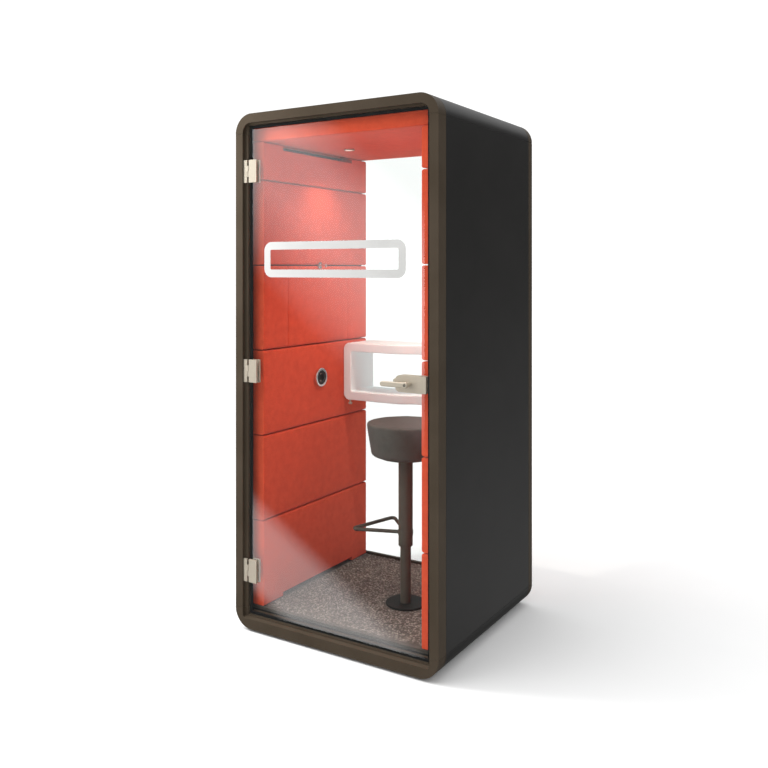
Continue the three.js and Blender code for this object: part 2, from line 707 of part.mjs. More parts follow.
const lockRight = doorEdge.right - LOCK_EDGE_INSET;
const lockCoreLeft = lockRight - LOCK_CORE_LENGTH;

function doorGlass() {
  const radii = [DOOR_CORNER_RADIUS, DOOR_CORNER_RADIUS, DOOR_CORNER_RADIUS, DOOR_CORNER_RADIUS];
  const pane = prism("y", roundedRectangle(doorEdge, radii), doorFront, doorBack);
  const coreHalf = HINGE_CORE_HEIGHT / 2 + SEAT_GAP;
  const slots = Object.values(hingeHeights).map((offset) => block(
    [clampCore.left - SEAT_GAP, doorFront - OVERCUT, hinge.middle + offset - coreHalf],
    [clampCore.right + SEAT_GAP, doorBack + OVERCUT, hinge.middle + offset + coreHalf],
  ));
  const lockHalf = LOCK_CORE_HEIGHT / 2 + SEAT_GAP;
  const lockNotch = block(
    [lockCoreLeft - SEAT_GAP, doorFront - OVERCUT, LOCK_CENTRE_HEIGHT - lockHalf],
    [doorEdge.right + OVERCUT, doorBack + OVERCUT, LOCK_CENTRE_HEIGHT + lockHalf],
  );
  place(cabin, "door_glass", cut(pane, ...slots, lockNotch), CLEAR_GLASS);
}

// The bolt lies in the plane of the glass, level with the lever axis.
const boltMiddle = (doorFront + doorBack) / 2;
const boltTip = lockRight + BOLT_REACH;

// A box around the latch bolt that is wider by a gap, between two ends along X.
function boltSpace(left, right, gap) {
  const halfThick = BOLT_THICKNESS / 2 + gap;
  const halfHigh = BOLT_HEIGHT / 2 + gap;
  return block(
    [left, boltMiddle - halfThick, LOCK_CENTRE_HEIGHT - halfHigh],
    [right, boltMiddle + halfThick, LOCK_CENTRE_HEIGHT + halfHigh],
  );
}

function lock() {
  const low = LOCK_CENTRE_HEIGHT - LOCK_HEIGHT / 2;
  const high = LOCK_CENTRE_HEIGHT + LOCK_HEIGHT / 2;
  const left = lockRight - LOCK_LENGTH;
  const radii = [LOCK_END_RADIUS, 0, 0, LOCK_END_RADIUS];
  const innerRight = Math.min(lockRight, stopHole.right - DOOR_EDGE_GAP);
  const outerPlate = prism("y", roundedRectangle({ left, right: lockRight, bottom: low, top: high }, radii),
    lockFront, doorFront - SEAT_GAP);
  const innerPlate = prism("y", roundedRectangle({ left, right: innerRight, bottom: low, top: high }, radii),
    doorBack + SEAT_GAP, lockBack);
  const coreHalf = LOCK_CORE_HEIGHT / 2;
  const core = block(
    [lockCoreLeft, doorFront - OVERCUT, LOCK_CENTRE_HEIGHT - coreHalf],
    [lockRight, doorBack + OVERCUT, LOCK_CENTRE_HEIGHT + coreHalf],
  );
  const coreTrim = block(
    [innerRight, doorBack, low - OVERCUT],
    [lockRight + OVERCUT, lockBack + OVERCUT, high + OVERCUT],
  );
  const boltBack = boltTip - BOLT_LENGTH;
  const channel = boltSpace(boltBack - BOLT_THROW - RUNNING_GAP, lockRight + OVERCUT, RUNNING_GAP);
  const spindleBore = alongY(cylinder(SPINDLE_RADIUS + RUNNING_GAP, lockFront - OVERCUT, lockBack + OVERCUT));
  spindleBore.translate(leverX, 0, LOCK_CENTRE_HEIGHT);
  const body = cut(join(outerPlate, core, innerPlate), coreTrim, channel, spindleBore);
  place(cabin, "lock_case", body, SATIN_NICKEL);
  place(cabin, "latch_bolt", boltSpace(boltBack, boltTip, 0), SATIN_NICKEL);
}

// Turns a piece made round Z so that its heights run along Y.
function alongY(geometry) {
  return geometry.applyMatrix4(new THREE.Matrix4().makeBasis(AXES.z, AXES.x, AXES.y));
}

// A lever grip that points towards the hinges, between two planes along Y.
function leverGrip(from, to) {
  const half = LEVER_HEIGHT / 2;
  const edge = { left: -LEVER_LENGTH, right: half, bottom: -half, top: half };
  const bar = roundedRectangle(edge, [half, half, half, half]);
  return join(prism("y", bar, from, to), alongY(cylinder(LEVER_HUB_RADIUS, from, to)));
}

function levers() {
  const group = groupAt(cabin, leverX, 0, LOCK_CENTRE_HEIGHT);
  const outerGripBack = lockFront - LEVER_STANDOFF;
  const innerGripFront = lockBack + LEVER_STANDOFF;
  const spindleEnd = lockBack + SPINDLE_GRIP;
  const outside = join(
    leverGrip(leverFront, outerGripBack),
    alongY(cylinder(LEVER_NECK_RADIUS, outerGripBack - OVERCUT, lockFront - RUNNING_GAP)),
    alongY(cylinder(SPINDLE_RADIUS, outerGripBack, spindleEnd)),
  );
  place(group, "lever_outside", outside, SATIN_NICKEL);
  const socket = alongY(cylinder(SPINDLE_RADIUS + SEAT_GAP, lockBack, spindleEnd + SEAT_GAP));
  const inside = cut(join(
    leverGrip(innerGripFront, innerGripFront + LEVER_THICKNESS),
    alongY(cylinder(LEVER_NECK_RADIUS, lockBack + RUNNING_GAP, innerGripFront + OVERCUT)),
  ), socket);
  place(group, "lever_inside", inside, SATIN_NICKEL);
}

function strikePlate() {
  const keeper = block(
    [strike.left, strike.front, strike.bottom],
    [lipHole.right - SEAT_GAP, strike.back, strike.top],
  );
  const pocket = boltSpace(strike.left - OVERCUT, boltTip + RUNNING_GAP, 2 * RUNNING_GAP);
  place(cabin, "strike", cut(keeper, pocket), BLACK_METAL);
}

// The table is a closed loop of board whose front edge eases back in a bay towards the stool.
function table() {
  const half = liningFace - SEAT_GAP;
  const low = TABLE_TOP_HEIGHT - TABLE_LOOP_HEIGHT;
  const back = bayBack - TABLE_BACK_GAP;
  const front = back - TABLE_DEPTH;
  const outer = { left: -half, right: half, bottom: low, top: TABLE_TOP_HEIGHT };
  const radius = TABLE_CORNER_RADIUS;
  const loop = ring(outer, [radius, radius, radius, radius], inset(outer, TABLE_BOARD), SQUARE, front, back);
  const bay = new THREE.Shape();
  const flat = TABLE_BAY_HALF_WIDTH;
  const start = flat + TABLE_BAY_EASE;
  const handle = TABLE_BAY_EASE / 2;
  const bayEdge = front + TABLE_BAY_DEPTH;
  bay.moveTo(-start, front - OVERCUT);
  bay.lineTo(start, front - OVERCUT);
  bay.lineTo(start, front);
  bay.bezierCurveTo(start - handle, front, flat + handle, bayEdge, flat, bayEdge);
  bay.lineTo(-flat, bayEdge);
  bay.bezierCurveTo(-flat - handle, bayEdge, -start + handle, front, -start, front);
  const cutter = prism("z", bay, low - OVERCUT, TABLE_TOP_HEIGHT + OVERCUT);
  cutter.translate(STOOL_OFFSET_X, 0, 0);
  place(cabin, "table_loop", cut(loop, cutter), TABLE_WHITE);

  const knobTop = BAG_HOOK_KNOB_HEIGHT - BAG_HOOK_DROP;
  const hook = turned([
    [0, -BAG_HOOK_DROP],
    [BAG_HOOK_RADIUS - BAG_HOOK_BEVEL, -BAG_HOOK_DROP],
    [BAG_HOOK_RADIUS, -BAG_HOOK_DROP + BAG_HOOK_BEVEL],
    [BAG_HOOK_RADIUS, knobTop],
    [BAG_HOOK_STEM_RADIUS, knobTop],
    [BAG_HOOK_STEM_RADIUS, -SEAT_GAP],
    [0, -SEAT_GAP],
  ]);
  const hookX = -half + TABLE_BOARD - BAG_HOOK_INSET;
  place(groupAt(cabin, hookX, front + BAG_HOOK_INSET, low), "bag_hook", hook, SATIN_NICKEL);
}

// Turns a piece made round Z so that it points into the room from the left wall.
function fromLeftWall(geometry) {
  return geometry.applyMatrix4(new THREE.Matrix4().makeBasis(AXES.y, AXES.z, AXES.x));
}

function coatHook() {
  const head = COAT_HOOK_REACH - COAT_HOOK_HEAD_LENGTH;
  const bead = COAT_HOOK_HEAD_BEVEL;
  const peg = turned([
    [0, SEAT_GAP],
    [COAT_HOOK_BASE_RADIUS, SEAT_GAP],
    [COAT_HOOK_BASE_RADIUS, COAT_HOOK_BASE_THICKNESS],
    [COAT_HOOK_STEM_RADIUS, COAT_HOOK_BASE_THICKNESS],
    [COAT_HOOK_STEM_RADIUS, head],
    [COAT_HOOK_HEAD_RADIUS, head + bead],
    [COAT_HOOK_HEAD_RADIUS, COAT_HOOK_REACH - bead],
    [COAT_HOOK_STEM_RADIUS, COAT_HOOK_REACH],
    [0, COAT_HOOK_REACH],
  ]);
  const height = seams[COAT_HOOK_SEAM];
  place(groupAt(cabin, -liningFace, bayMiddle, height), "coat_hook", fromLeftWall(peg), POLISHED);
}

function wallSocket() {
  const group = groupAt(cabin, -liningFace, bayMiddle, SOCKET_HEIGHT);
  const hole = SOCKET_RADIUS - SOCKET_RING_WIDTH;
  const bevel = SOCKET_FACE_RECESS;
  const collar = turned([
    [hole, SEAT_GAP],
    [SOCKET_RADIUS, SEAT_GAP],
    [SOCKET_RADIUS, SOCKET_PROUD - bevel],
    [SOCKET_RADIUS - bevel, SOCKET_PROUD],
    [hole, SOCKET_PROUD],
    [hole, SEAT_GAP],
  ]);
  const insert = cylinder(hole - SEAT_GAP, SEAT_GAP, SOCKET_PROUD - SOCKET_FACE_RECESS);
  place(group, "socket_ring", fromLeftWall(collar), POLISHED);
  place(group, "socket_insert", fromLeftWall(insert), BLACK_PLASTIC);
}

// Heights of the stool pieces above the carpet.
const sleeveTop = STOOL_SLEEVE_START + STOOL_SLEEVE_LENGTH;
const panLow = sleeveTop + RUNNING_GAP;
const panTop = panLow + STOOL_PAN_THICKNESS;

function footrestPath() {
  const weld = STOOL_SLEEVE_RADIUS + FOOTREST_COLLAR_WALL / 2;
  const front = [-FOOTREST_FRONT_CORNER_LEFT, -FOOTREST_FRONT_CORNER_AHEAD];
  const rear = [-FOOTREST_REAR_CORNER_LEFT, FOOTREST_REAR_CORNER_BEHIND];
  const start = new THREE.Vector3(...scaledTo(front, weld), 0);
  const end = new THREE.Vector3(...scaledTo(rear, weld), 0);
  const frontCorner = new THREE.Vector3(...front, 0);
  const rearCorner = new THREE.Vector3(...rear, 0);
  const towards = (from, to) => from.clone().add(to.clone().sub(from).setLength(FOOTREST_BEND));
  const path = new THREE.CurvePath();
  path.add(new THREE.LineCurve3(start, towards(frontCorner, start)));
  path.add(new THREE.QuadraticBezierCurve3(
    towards(frontCorner, start), frontCorner, towards(frontCorner, rearCorner)));
  path.add(new THREE.LineCurve3(towards(frontCorner, rearCorner), towards(rearCorner, frontCorner)));
  path.add(new THREE.QuadraticBezierCurve3(
    towards(rearCorner, frontCorner), rearCorner, towards(rearCorner, end)));
  path.add(new THREE.LineCurve3(towards(rearCorner, end), end));
  return path;
}

// A plan point moved along its own direction to a distance from the axis.
function scaledTo([x, y], distance) {
  const length = Math.hypot(x, y);
  return [(x * distance) / length, (y * distance) / length];
}

function rod(path, radius, steps) {
  const corners = Array.from({ length: ROD_SIDES }, (_, side) => {
    const angle = (2 * Math.PI * side) / ROD_SIDES;
    return [radius * Math.cos(angle), radius * Math.sin(angle)];
  });
  return new THREE.ExtrudeGeometry(polygon(corners), { steps, extrudePath: path, bevelEnabled: false });
}

function stool() {
  const group = groupAt(cabin, STOOL_OFFSET_X, bayMiddle + STOOL_OFFSET_Y, carpetTop);
  const flangeTop = SEAT_GAP + STOOL_FLANGE_THICKNESS;
  const base = turned([
    [0, SEAT_GAP],
    [STOOL_FLANGE_RADIUS, SEAT_GAP],
    [STOOL_FLANGE_RADIUS, flangeTop],
    [STOOL_POST_RADIUS, flangeTop],
    [STOOL_POST_RADIUS, STOOL_POST_HEIGHT],
    [0, STOOL_POST_HEIGHT],
  ], SEAT_TURN_STEPS);
  place(group, "stool_base", base, STOOL_METAL);

  const boreRadius = STOOL_POST_RADIUS + RUNNING_GAP;
  const pivotRadius = STOOL_PIVOT_RADIUS + RUNNING_GAP;
  const pivotFoot = sleeveTop - STOOL_PIVOT_LENGTH - RUNNING_GAP;
  const sleeve = turned([
    [0, sleeveTop - STOOL_SLEEVE_CAP],
    [boreRadius, sleeveTop - STOOL_SLEEVE_CAP],
    [boreRadius, STOOL_SLEEVE_START],
    [STOOL_SLEEVE_RADIUS - STOOL_SLEEVE_CHAMFER / 2, STOOL_SLEEVE_START],
    [STOOL_SLEEVE_RADIUS, STOOL_SLEEVE_START + STOOL_SLEEVE_CHAMFER],
    [STOOL_SLEEVE_RADIUS, sleeveTop],
    [pivotRadius, sleeveTop],
    [pivotRadius, pivotFoot],
    [0, pivotFoot],
  ]);
  place(group, "stool_sleeve", sleeve, STOOL_METAL);

  const collarHalf = FOOTREST_COLLAR_HEIGHT / 2;
  const collarRadius = STOOL_SLEEVE_RADIUS + FOOTREST_COLLAR_WALL;
  const collarBore = cylinder(STOOL_SLEEVE_RADIUS + SEAT_GAP, -collarHalf - OVERCUT, collarHalf + OVERCUT);
  const footrest = cut(join(
    cylinder(collarRadius, -collarHalf, collarHalf),
    rod(footrestPath(), FOOTREST_ROD_RADIUS, FOOTREST_STEPS),
  ), collarBore).translate(0, 0, FOOTREST_HEIGHT);
  place(group, "stool_footrest", footrest, STOOL_METAL);

  const pan = turned([
    [0, sleeveTop - STOOL_PIVOT_LENGTH],
    [STOOL_PIVOT_RADIUS, sleeveTop - STOOL_PIVOT_LENGTH],
    [STOOL_PIVOT_RADIUS, panLow],
    [STOOL_PAN_RADIUS, panLow],
    [STOOL_PAN_RADIUS, panTop],
    [0, panTop],
  ], SEAT_TURN_STEPS);
  place(group, "stool_seat_pan", pan, STOOL_METAL);

  const cushionLow = panTop + SEAT_GAP;
  const cushionTop = cushionLow + SEAT_HEIGHT;
  const quarter = Math.PI / 2;
  const cushion = turned([
    [0, cushionLow],
    ...arcPoints([SEAT_BOTTOM_RADIUS - SEAT_BOTTOM_ROUND, cushionLow + SEAT_BOTTOM_ROUND],
      SEAT_BOTTOM_ROUND, -quarter, 0, SEAT_EDGE_STEPS),
    ...arcPoints([SEAT_TOP_RADIUS - SEAT_TOP_ROUND, cushionTop - SEAT_TOP_ROUND],
      SEAT_TOP_ROUND, 0, quarter, SEAT_EDGE_STEPS),
    [0, cushionTop],
  ], SEAT_TURN_STEPS);
  place(group, "stool_cushion", cushion, STOOL_FABRIC);
}

frontFrame();
rearFrame();
rearGlass();
shell();
glides();
carpet();
walls();
ceiling();
ceilingSpots();
fan();
doorGlass();
hinges();
lock();
levers();
strikePlate();
table();
coatHook();
wallSocket();
stool();

export default pod;
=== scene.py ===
# %% [markdown]
# Acoustic office pod
#
# A booth for one person: two bronze frames hold a dark shell ring, a glass door hangs in the front
# frame, and the room inside is lined with orange felt panels. This lesson loads the construction
# model as a fixed frame, in metres with +Z up, and gives each piece its finished surface.

# %% Load the construction model
import math

import bmesh
import bpy
import numpy as np
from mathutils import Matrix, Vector, noise


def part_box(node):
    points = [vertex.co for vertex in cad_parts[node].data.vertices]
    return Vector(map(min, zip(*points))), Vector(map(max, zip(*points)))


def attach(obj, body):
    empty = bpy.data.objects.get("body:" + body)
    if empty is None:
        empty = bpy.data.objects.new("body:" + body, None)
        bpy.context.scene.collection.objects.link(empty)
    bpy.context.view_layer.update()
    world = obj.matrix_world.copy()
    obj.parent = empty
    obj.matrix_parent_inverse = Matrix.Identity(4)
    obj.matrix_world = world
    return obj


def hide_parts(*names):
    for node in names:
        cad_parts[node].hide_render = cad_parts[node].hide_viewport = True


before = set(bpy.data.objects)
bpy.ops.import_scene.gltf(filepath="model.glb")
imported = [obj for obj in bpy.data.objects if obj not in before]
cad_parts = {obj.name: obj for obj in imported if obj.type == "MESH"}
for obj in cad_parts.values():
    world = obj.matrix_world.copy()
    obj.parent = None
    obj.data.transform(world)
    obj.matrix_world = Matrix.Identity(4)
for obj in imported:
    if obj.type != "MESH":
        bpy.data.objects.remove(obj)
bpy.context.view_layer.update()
scene = bpy.context.scene

# %% [markdown]
# The camera first. The photograph was taken level, a little above the middle of the pod and from
# its right, and its verticals stay upright because the lens was shifted down instead of tilted.
# A view like that is a level camera with a vertical shift.

# %% Camera
CAMERA_PLACE = (2.0045, -3.2551, 1.5627)
CAMERA_TURN = math.radians(31.804)
CAMERA_LENS = 39.96
CAMERA_SHIFT_DOWN = -0.1505

camera_data = bpy.data.cameras.new("camera")
camera_data.lens = CAMERA_LENS
camera_data.sensor_width = 36.0
camera_data.shift_y = CAMERA_SHIFT_DOWN
camera_data.clip_end = 200.0
camera = bpy.data.objects.new("camera", camera_data)
camera.location = CAMERA_PLACE
camera.rotation_euler = (math.pi / 2, 0.0, CAMERA_TURN)
scene.collection.objects.link(camera)
scene.camera = camera
scene.view_settings.view_transform = "Standard"
print("camera", camera.name, "lens", camera_data.lens)

# %% [markdown]
# Every finish is a small node tree, so the next cell holds the few steps that all of them share:
# a new material with its shader, a noise texture in Object coordinates, a blend of two colours and
# a bump. Object coordinates are metres here, because each piece sits at the origin.


# %% Helpers for finishes
def new_finish(name, **sockets):
    """A material with one Principled shader whose sockets are set to plain values."""
    finish = bpy.data.materials.new(name)
    finish.use_nodes = True
    shader = finish.node_tree.nodes["Principled BSDF"]
    for socket, value in sockets.items():
        shader.inputs[socket.replace("_", " ")].default_value = value
    return finish, shader


def object_place(finish, stretch=(1.0, 1.0, 1.0)):
    """Object coordinates, stretched along the axes for grain that runs one way."""
    nodes = finish.node_tree.nodes
    mapping = nodes.new("ShaderNodeMapping")
    mapping.inputs["Scale"].default_value = stretch
    coordinates = nodes.new("ShaderNodeTexCoord")
    finish.node_tree.links.new(coordinates.outputs["Object"], mapping.inputs["Vector"])
    return mapping.outputs["Vector"]


def grain(finish, place, scale, detail=3.0, roughness=0.6):
    """A noise value from 0 to 1; scale counts its grains per metre."""
    texture = finish.node_tree.nodes.new("ShaderNodeTexNoise")
    texture.inputs["Scale"].default_value = scale
    texture.inputs["Detail"].default_value = detail
    texture.inputs["Roughness"].default_value = roughness
    finish.node_tree.links.new(place, texture.inputs["Vector"])
    return texture.outputs["Fac"]


def spread(finish, value, low, high, low_to=0.0, high_to=1.0):
    """Stretches a value between two limits."""
    node = finish.node_tree.nodes.new("ShaderNodeMapRange")
    node.inputs["From Min"].default_value = low
    node.inputs["From Max"].default_value = high
    node.inputs["To Min"].default_value = low_to
    node.inputs["To Max"].default_value = high_to
    finish.node_tree.links.new(value, node.inputs["Value"])
    return node.outputs["Result"]


def colour_between(finish, value, first, second):
    """A colour that goes from first to second with the value."""
    node = finish.node_tree.nodes.new("ShaderNodeMix")
    node.data_type = "RGBA"
    node.inputs["A"].default_value = (*first, 1.0)
    node.inputs["B"].default_value = (*second, 1.0)
    finish.node_tree.links.new(value, node.inputs["Factor"])
    return node.outputs["Result"]


def average(finish, first, second, share):
    """A mix of two values, with that share of the second."""
    node = finish.node_tree.nodes.new("ShaderNodeMix")
    node.inputs["Factor"].default_value = share
    finish.node_tree.links.new(first, node.inputs["A"])
    finish.node_tree.links.new(second, node.inputs["B"])
    return node.outputs["Result"]


def add_bump(finish, shader, value, strength, distance):
    """Lets a value raise the surface in the shading, by the distance at most."""
    node = finish.node_tree.nodes.new("ShaderNodeBump")
    node.inputs["Strength"].default_value = strength
    node.inputs["Distance"].default_value = distance
    finish.node_tree.links.new(value, node.inputs["Height"])
    finish.node_tree.links.new(node.outputs["Normal"], shader.inputs["Normal"])


def feed(finish, value, shader, socket):
    """Links a value to one of the shader's sockets."""
    finish.node_tree.links.new(value, shader.inputs[socket])


# %% [markdown]
# The hard finishes. The frame is powder coated in bronze, which has a fine orange-peel surface. The
# shell is a dark satin laminate. The fittings are satin nickel, brushed along their length, and the
# stool is painted in the colour of the frame. Its flange has the stool's paint darkened to near black,
# which is painted shade for the shadow that the seat casts on it.


# %% Hard finishes
TONE_SCALE = 5.0
PEEL_DEPTH = 0.0004
BRUSH_SCALE = 60.0
BRUSH_DEPTH = 0.0003


def coated(name, dark, light, roughness, metallic=0.0, peel_scale=900.0, peel=0.1, specular=0.5):
    """Powder coat, paint, plastic or laminate: a slow change of tone and a fine peel."""
    finish, shader = new_finish(name, Metallic=metallic, Specular_IOR_Level=specular)
    place = object_place(finish)
    slow = grain(finish, place, TONE_SCALE, detail=2.0)
    fine = grain(finish, place, peel_scale, detail=2.0)
    tone = spread(finish, average(finish, slow, fine, 0.4), 0.35, 0.65)
    feed(finish, colour_between(finish, tone, dark, light), shader, "Base Color")
    feed(finish, spread(finish, fine, 0.3, 0.7, roughness - 0.05, roughness + 0.05), shader, "Roughness")
    add_bump(finish, shader, fine, peel, PEEL_DEPTH)
    return finish


def brushed(name, dark, light, roughness, stretch=(1.0, 1.0, 1.0), metallic=1.0):
    """Metal with fine lines along one axis."""
    finish, shader = new_finish(name, Metallic=metallic)
    lines = grain(finish, object_place(finish, stretch), BRUSH_SCALE, detail=4.0)
    feed(finish, colour_between(finish, lines, dark, light), shader, "Base Color")
    feed(finish, spread(finish, lines, 0.3, 0.7, roughness - 0.08, roughness + 0.08), shader, "Roughness")
    add_bump(finish, shader, lines, 0.04, BRUSH_DEPTH)
    return finish


bronze = coated("bronze_powder_coat", (0.048, 0.036, 0.024), (0.063, 0.048, 0.034), roughness=0.42,
                metallic=0.05, specular=0.08)
shell_laminate = coated("dark_laminate", (0.0100, 0.0095, 0.0088), (0.0135, 0.0128, 0.0120),
                        roughness=0.40, peel_scale=700.0, peel=0.06, specular=0.30)
stool_paint = coated("stool_paint", (0.070, 0.060, 0.047), (0.092, 0.080, 0.064), roughness=0.45,
                     specular=0.2)
# The flange's near-black paint is painted shade: the stool's paint darkened for the seat's shadow on it.
flange_painted_shade = coated("flange_painted_shade", (0.008, 0.008, 0.007), (0.013, 0.013, 0.011), roughness=0.6,
                      specular=0.2)
nickel = brushed("satin_nickel", (0.43, 0.38, 0.30), (0.56, 0.50, 0.41), roughness=0.40,
                 stretch=(1.0, 12.0, 12.0), metallic=0.45)
chrome = brushed("polished_chrome", (0.78, 0.78, 0.78), (0.84, 0.84, 0.84), roughness=0.12)
black_metal = coated("black_metal", (0.008, 0.008, 0.008), (0.014, 0.014, 0.014), roughness=0.45,
                     metallic=0.3)
black_plastic = coated("black_plastic", (0.010, 0.010, 0.011), (0.016, 0.016, 0.017), roughness=0.5,
                       peel_scale=1200.0, peel=0.15)
rubber = coated("black_rubber", (0.006, 0.006, 0.006), (0.010, 0.010, 0.010), roughness=0.75,
                peel_scale=1500.0, peel=0.05, specular=0.15)
table_white = coated("white_laminate", (0.83, 0.885, 0.89), (0.88, 0.935, 0.94), roughness=0.38,
                     peel_scale=1000.0, peel=0.05)
marker_film = coated("white_film", (0.45, 0.45, 0.44), (0.50, 0.50, 0.49), roughness=0.5,
                     peel_scale=600.0, peel=0.03, specular=0.05)
print("hard finishes ready")

# %% [markdown]
# Felt is pressed wool: no weave, but a tangle of short fibres with a soft sheen at grazing angles.
# Two noises of different size give the tangle and a slow mottling gives the cloth its depth.


# %% Felt
FIBRE_SCALE = 1100.0
FIBRE_DEPTH = 0.0009
MOTTLE_SCALE = 30.0


def felt(name, dark, light, sheen):
    """Pressed wool between two tones."""
    finish, shader = new_finish(name, Roughness=0.92, Sheen_Weight=sheen, Sheen_Roughness=0.45,
                                Specular_IOR_Level=0.15)
    place = object_place(finish)
    fibre = grain(finish, place, FIBRE_SCALE, detail=5.0, roughness=0.7)
    long_fibre = grain(finish, object_place(finish, (1.0, 0.35, 1.6)), FIBRE_SCALE / 3.0, detail=4.0)
    mottle = grain(finish, place, MOTTLE_SCALE, detail=4.0)
    tangle = average(finish, fibre, long_fibre, 0.5)
    tone = spread(finish, average(finish, tangle, mottle, 0.35), 0.36, 0.64)
    feed(finish, colour_between(finish, tone, dark, light), shader, "Base Color")
    add_bump(finish, shader, tangle, 0.30, FIBRE_DEPTH)
    return finish


orange_felt = felt("orange_felt", (0.54, 0.055, 0.020), (0.72, 0.088, 0.034), sheen=0.15)
grey_felt = felt("grey_felt", (0.054, 0.049, 0.043), (0.086, 0.079, 0.070), sheen=0.10)
print("felts", orange_felt.name, grey_felt.name)

# %% [markdown]
# Glass. A pane could be traced with refraction, but that is slow and grainy where the pane is flat.
# Here it lets light straight through with a faint tint, and the face that meets the eye mirrors a share
# that grows at flat angles. A real pane mirrors on both faces, so the door's one mirror counts for two.
# The rear pane mirrors less, a value that keeps the white behind it white.

# %% Glass
GLASS_TINT = (0.985, 0.995, 0.990, 1.0)
DOOR_REFRACTION = 1.77
REAR_REFRACTION = 1.40


def clear_glass(name, refraction):
    """A clear sheet that reflects a little on the side that faces the ray."""
    finish = bpy.data.materials.new(name)
    finish.use_nodes = True
    nodes, links = finish.node_tree.nodes, finish.node_tree.links
    nodes.remove(nodes["Principled BSDF"])
    clear = nodes.new("ShaderNodeBsdfTransparent")
    clear.inputs["Color"].default_value = GLASS_TINT
    gloss = nodes.new("ShaderNodeBsdfGlossy")
    gloss.inputs["Roughness"].default_value = 0.0
    fresnel = nodes.new("ShaderNodeFresnel")
    fresnel.inputs["IOR"].default_value = refraction
    side = nodes.new("ShaderNodeNewGeometry")
    outside = nodes.new("ShaderNodeMath")
    outside.operation = "SUBTRACT"
    outside.inputs[0].default_value = 1.0
    share = nodes.new("ShaderNodeMath")
    share.operation = "MULTIPLY"
    mix = nodes.new("ShaderNodeMixShader")
    links.new(side.outputs["Backfacing"], outside.inputs[1])
    links.new(fresnel.outputs["Fac"], share.inputs[0])
    links.new(outside.outputs["Value"], share.inputs[1])
    links.new(share.outputs["Value"], mix.inputs["Fac"])
    links.new(clear.outputs["BSDF"], mix.inputs[1])
    links.new(gloss.outputs["BSDF"], mix.inputs[2])
    links.new(mix.outputs["Shader"], nodes["Material Output"].inputs["Surface"])
    return finish


door_pane = clear_glass("door_glass", DOOR_REFRACTION)
rear_pane = clear_glass("rear_glass", REAR_REFRACTION)
print("panes", door_pane.name, rear_pane.name)

# %% [markdown]
# Most hard pieces are already right in the construction model, except that its edges are knife
# sharp and its flat faces are cut in triangles. A finished copy merges the triangles, breaks each
# sharp edge with a small round, and shades the facets of an arc as one smooth surface.


# %% Helpers for pieces
MERGE_DISTANCE = 1e-6
FLAT_ANGLE = math.radians(0.4)
SHARP_EDGE = math.radians(32.0)
SMOOTH_ANGLE = 38.0


def add_piece(name, mesh, finish):
    """A new object at the origin with one finish."""
    mesh.materials.clear()
    mesh.materials.append(finish)
    piece = bpy.data.objects.new(name, mesh)
    scene.collection.objects.link(piece)
    return piece


def settle(piece, finish):
    """Turns a piece with live modifiers into a plain mesh."""
    graph = bpy.context.evaluated_depsgraph_get()
    mesh = bpy.data.meshes.new_from_object(piece.evaluated_get(graph))
    piece.modifiers.clear()
    piece.data = mesh
    mesh.materials.clear()
    mesh.materials.append(finish)
    return piece


def smooth(piece, angle=SMOOTH_ANGLE):
    """Shades smoothly over edges that turn less than the angle in degrees."""
    piece.data.shade_smooth()
    piece.data.set_sharp_from_angle(angle=math.radians(angle))


def round_edges(piece, finish, width, steps=3, limit="ANGLE"):
    """Breaks the sharp edges with a round, and keeps the flat faces flat in the shading."""
    bevel = piece.modifiers.new("edges", "BEVEL")
    bevel.width = width
    bevel.segments = steps
    bevel.limit_method = limit
    bevel.angle_limit = SHARP_EDGE
    bevel.use_clamp_overlap = True
    smooth(piece)
    normals = piece.modifiers.new("normals", "WEIGHTED_NORMAL")
    normals.keep_sharp = True
    return settle(piece, finish)


def finished_copy(node, finish, edge, limit="ANGLE"):
    """A copy of a node with rounded edges; the limit WEIGHT leaves its inner corners sharp."""
    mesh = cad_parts[node].data.copy()
    work = bmesh.new()
    work.from_mesh(mesh)
    bmesh.ops.remove_doubles(work, verts=work.verts, dist=MERGE_DISTANCE)
    bmesh.ops.dissolve_limit(work, angle_limit=FLAT_ANGLE, verts=work.verts, edges=work.edges)
    outer = work.edges.layers.float.new("bevel_weight_edge")
    for line in work.edges:
        line[outer] = float(line.is_convex and line.calc_face_angle(0.0) > SHARP_EDGE)
    work.to_mesh(mesh)
    work.free()
    piece = add_piece(f"{node}_finished", mesh, finish)
    return round_edges(piece, finish, edge, limit=limit)


def install(piece, body, slot, *nodes):
    """The piece rides on its body and stands for the nodes, which it hides. The slot is not used."""
    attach(piece, body)
    if nodes:
        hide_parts(*nodes)
    return piece


# %% [markdown]
# The frames, the shell, the panes, the hinges, the lock and the fan need no more than that. To model
# them again would only repeat the construction model, so each is a finished copy of its node. A row of
# the list gives the body that carries the piece, its slot, its finish, the width of the edge round and
# its nodes. The levers turn in the lock, so their inner corners stay sharp and clear of it.

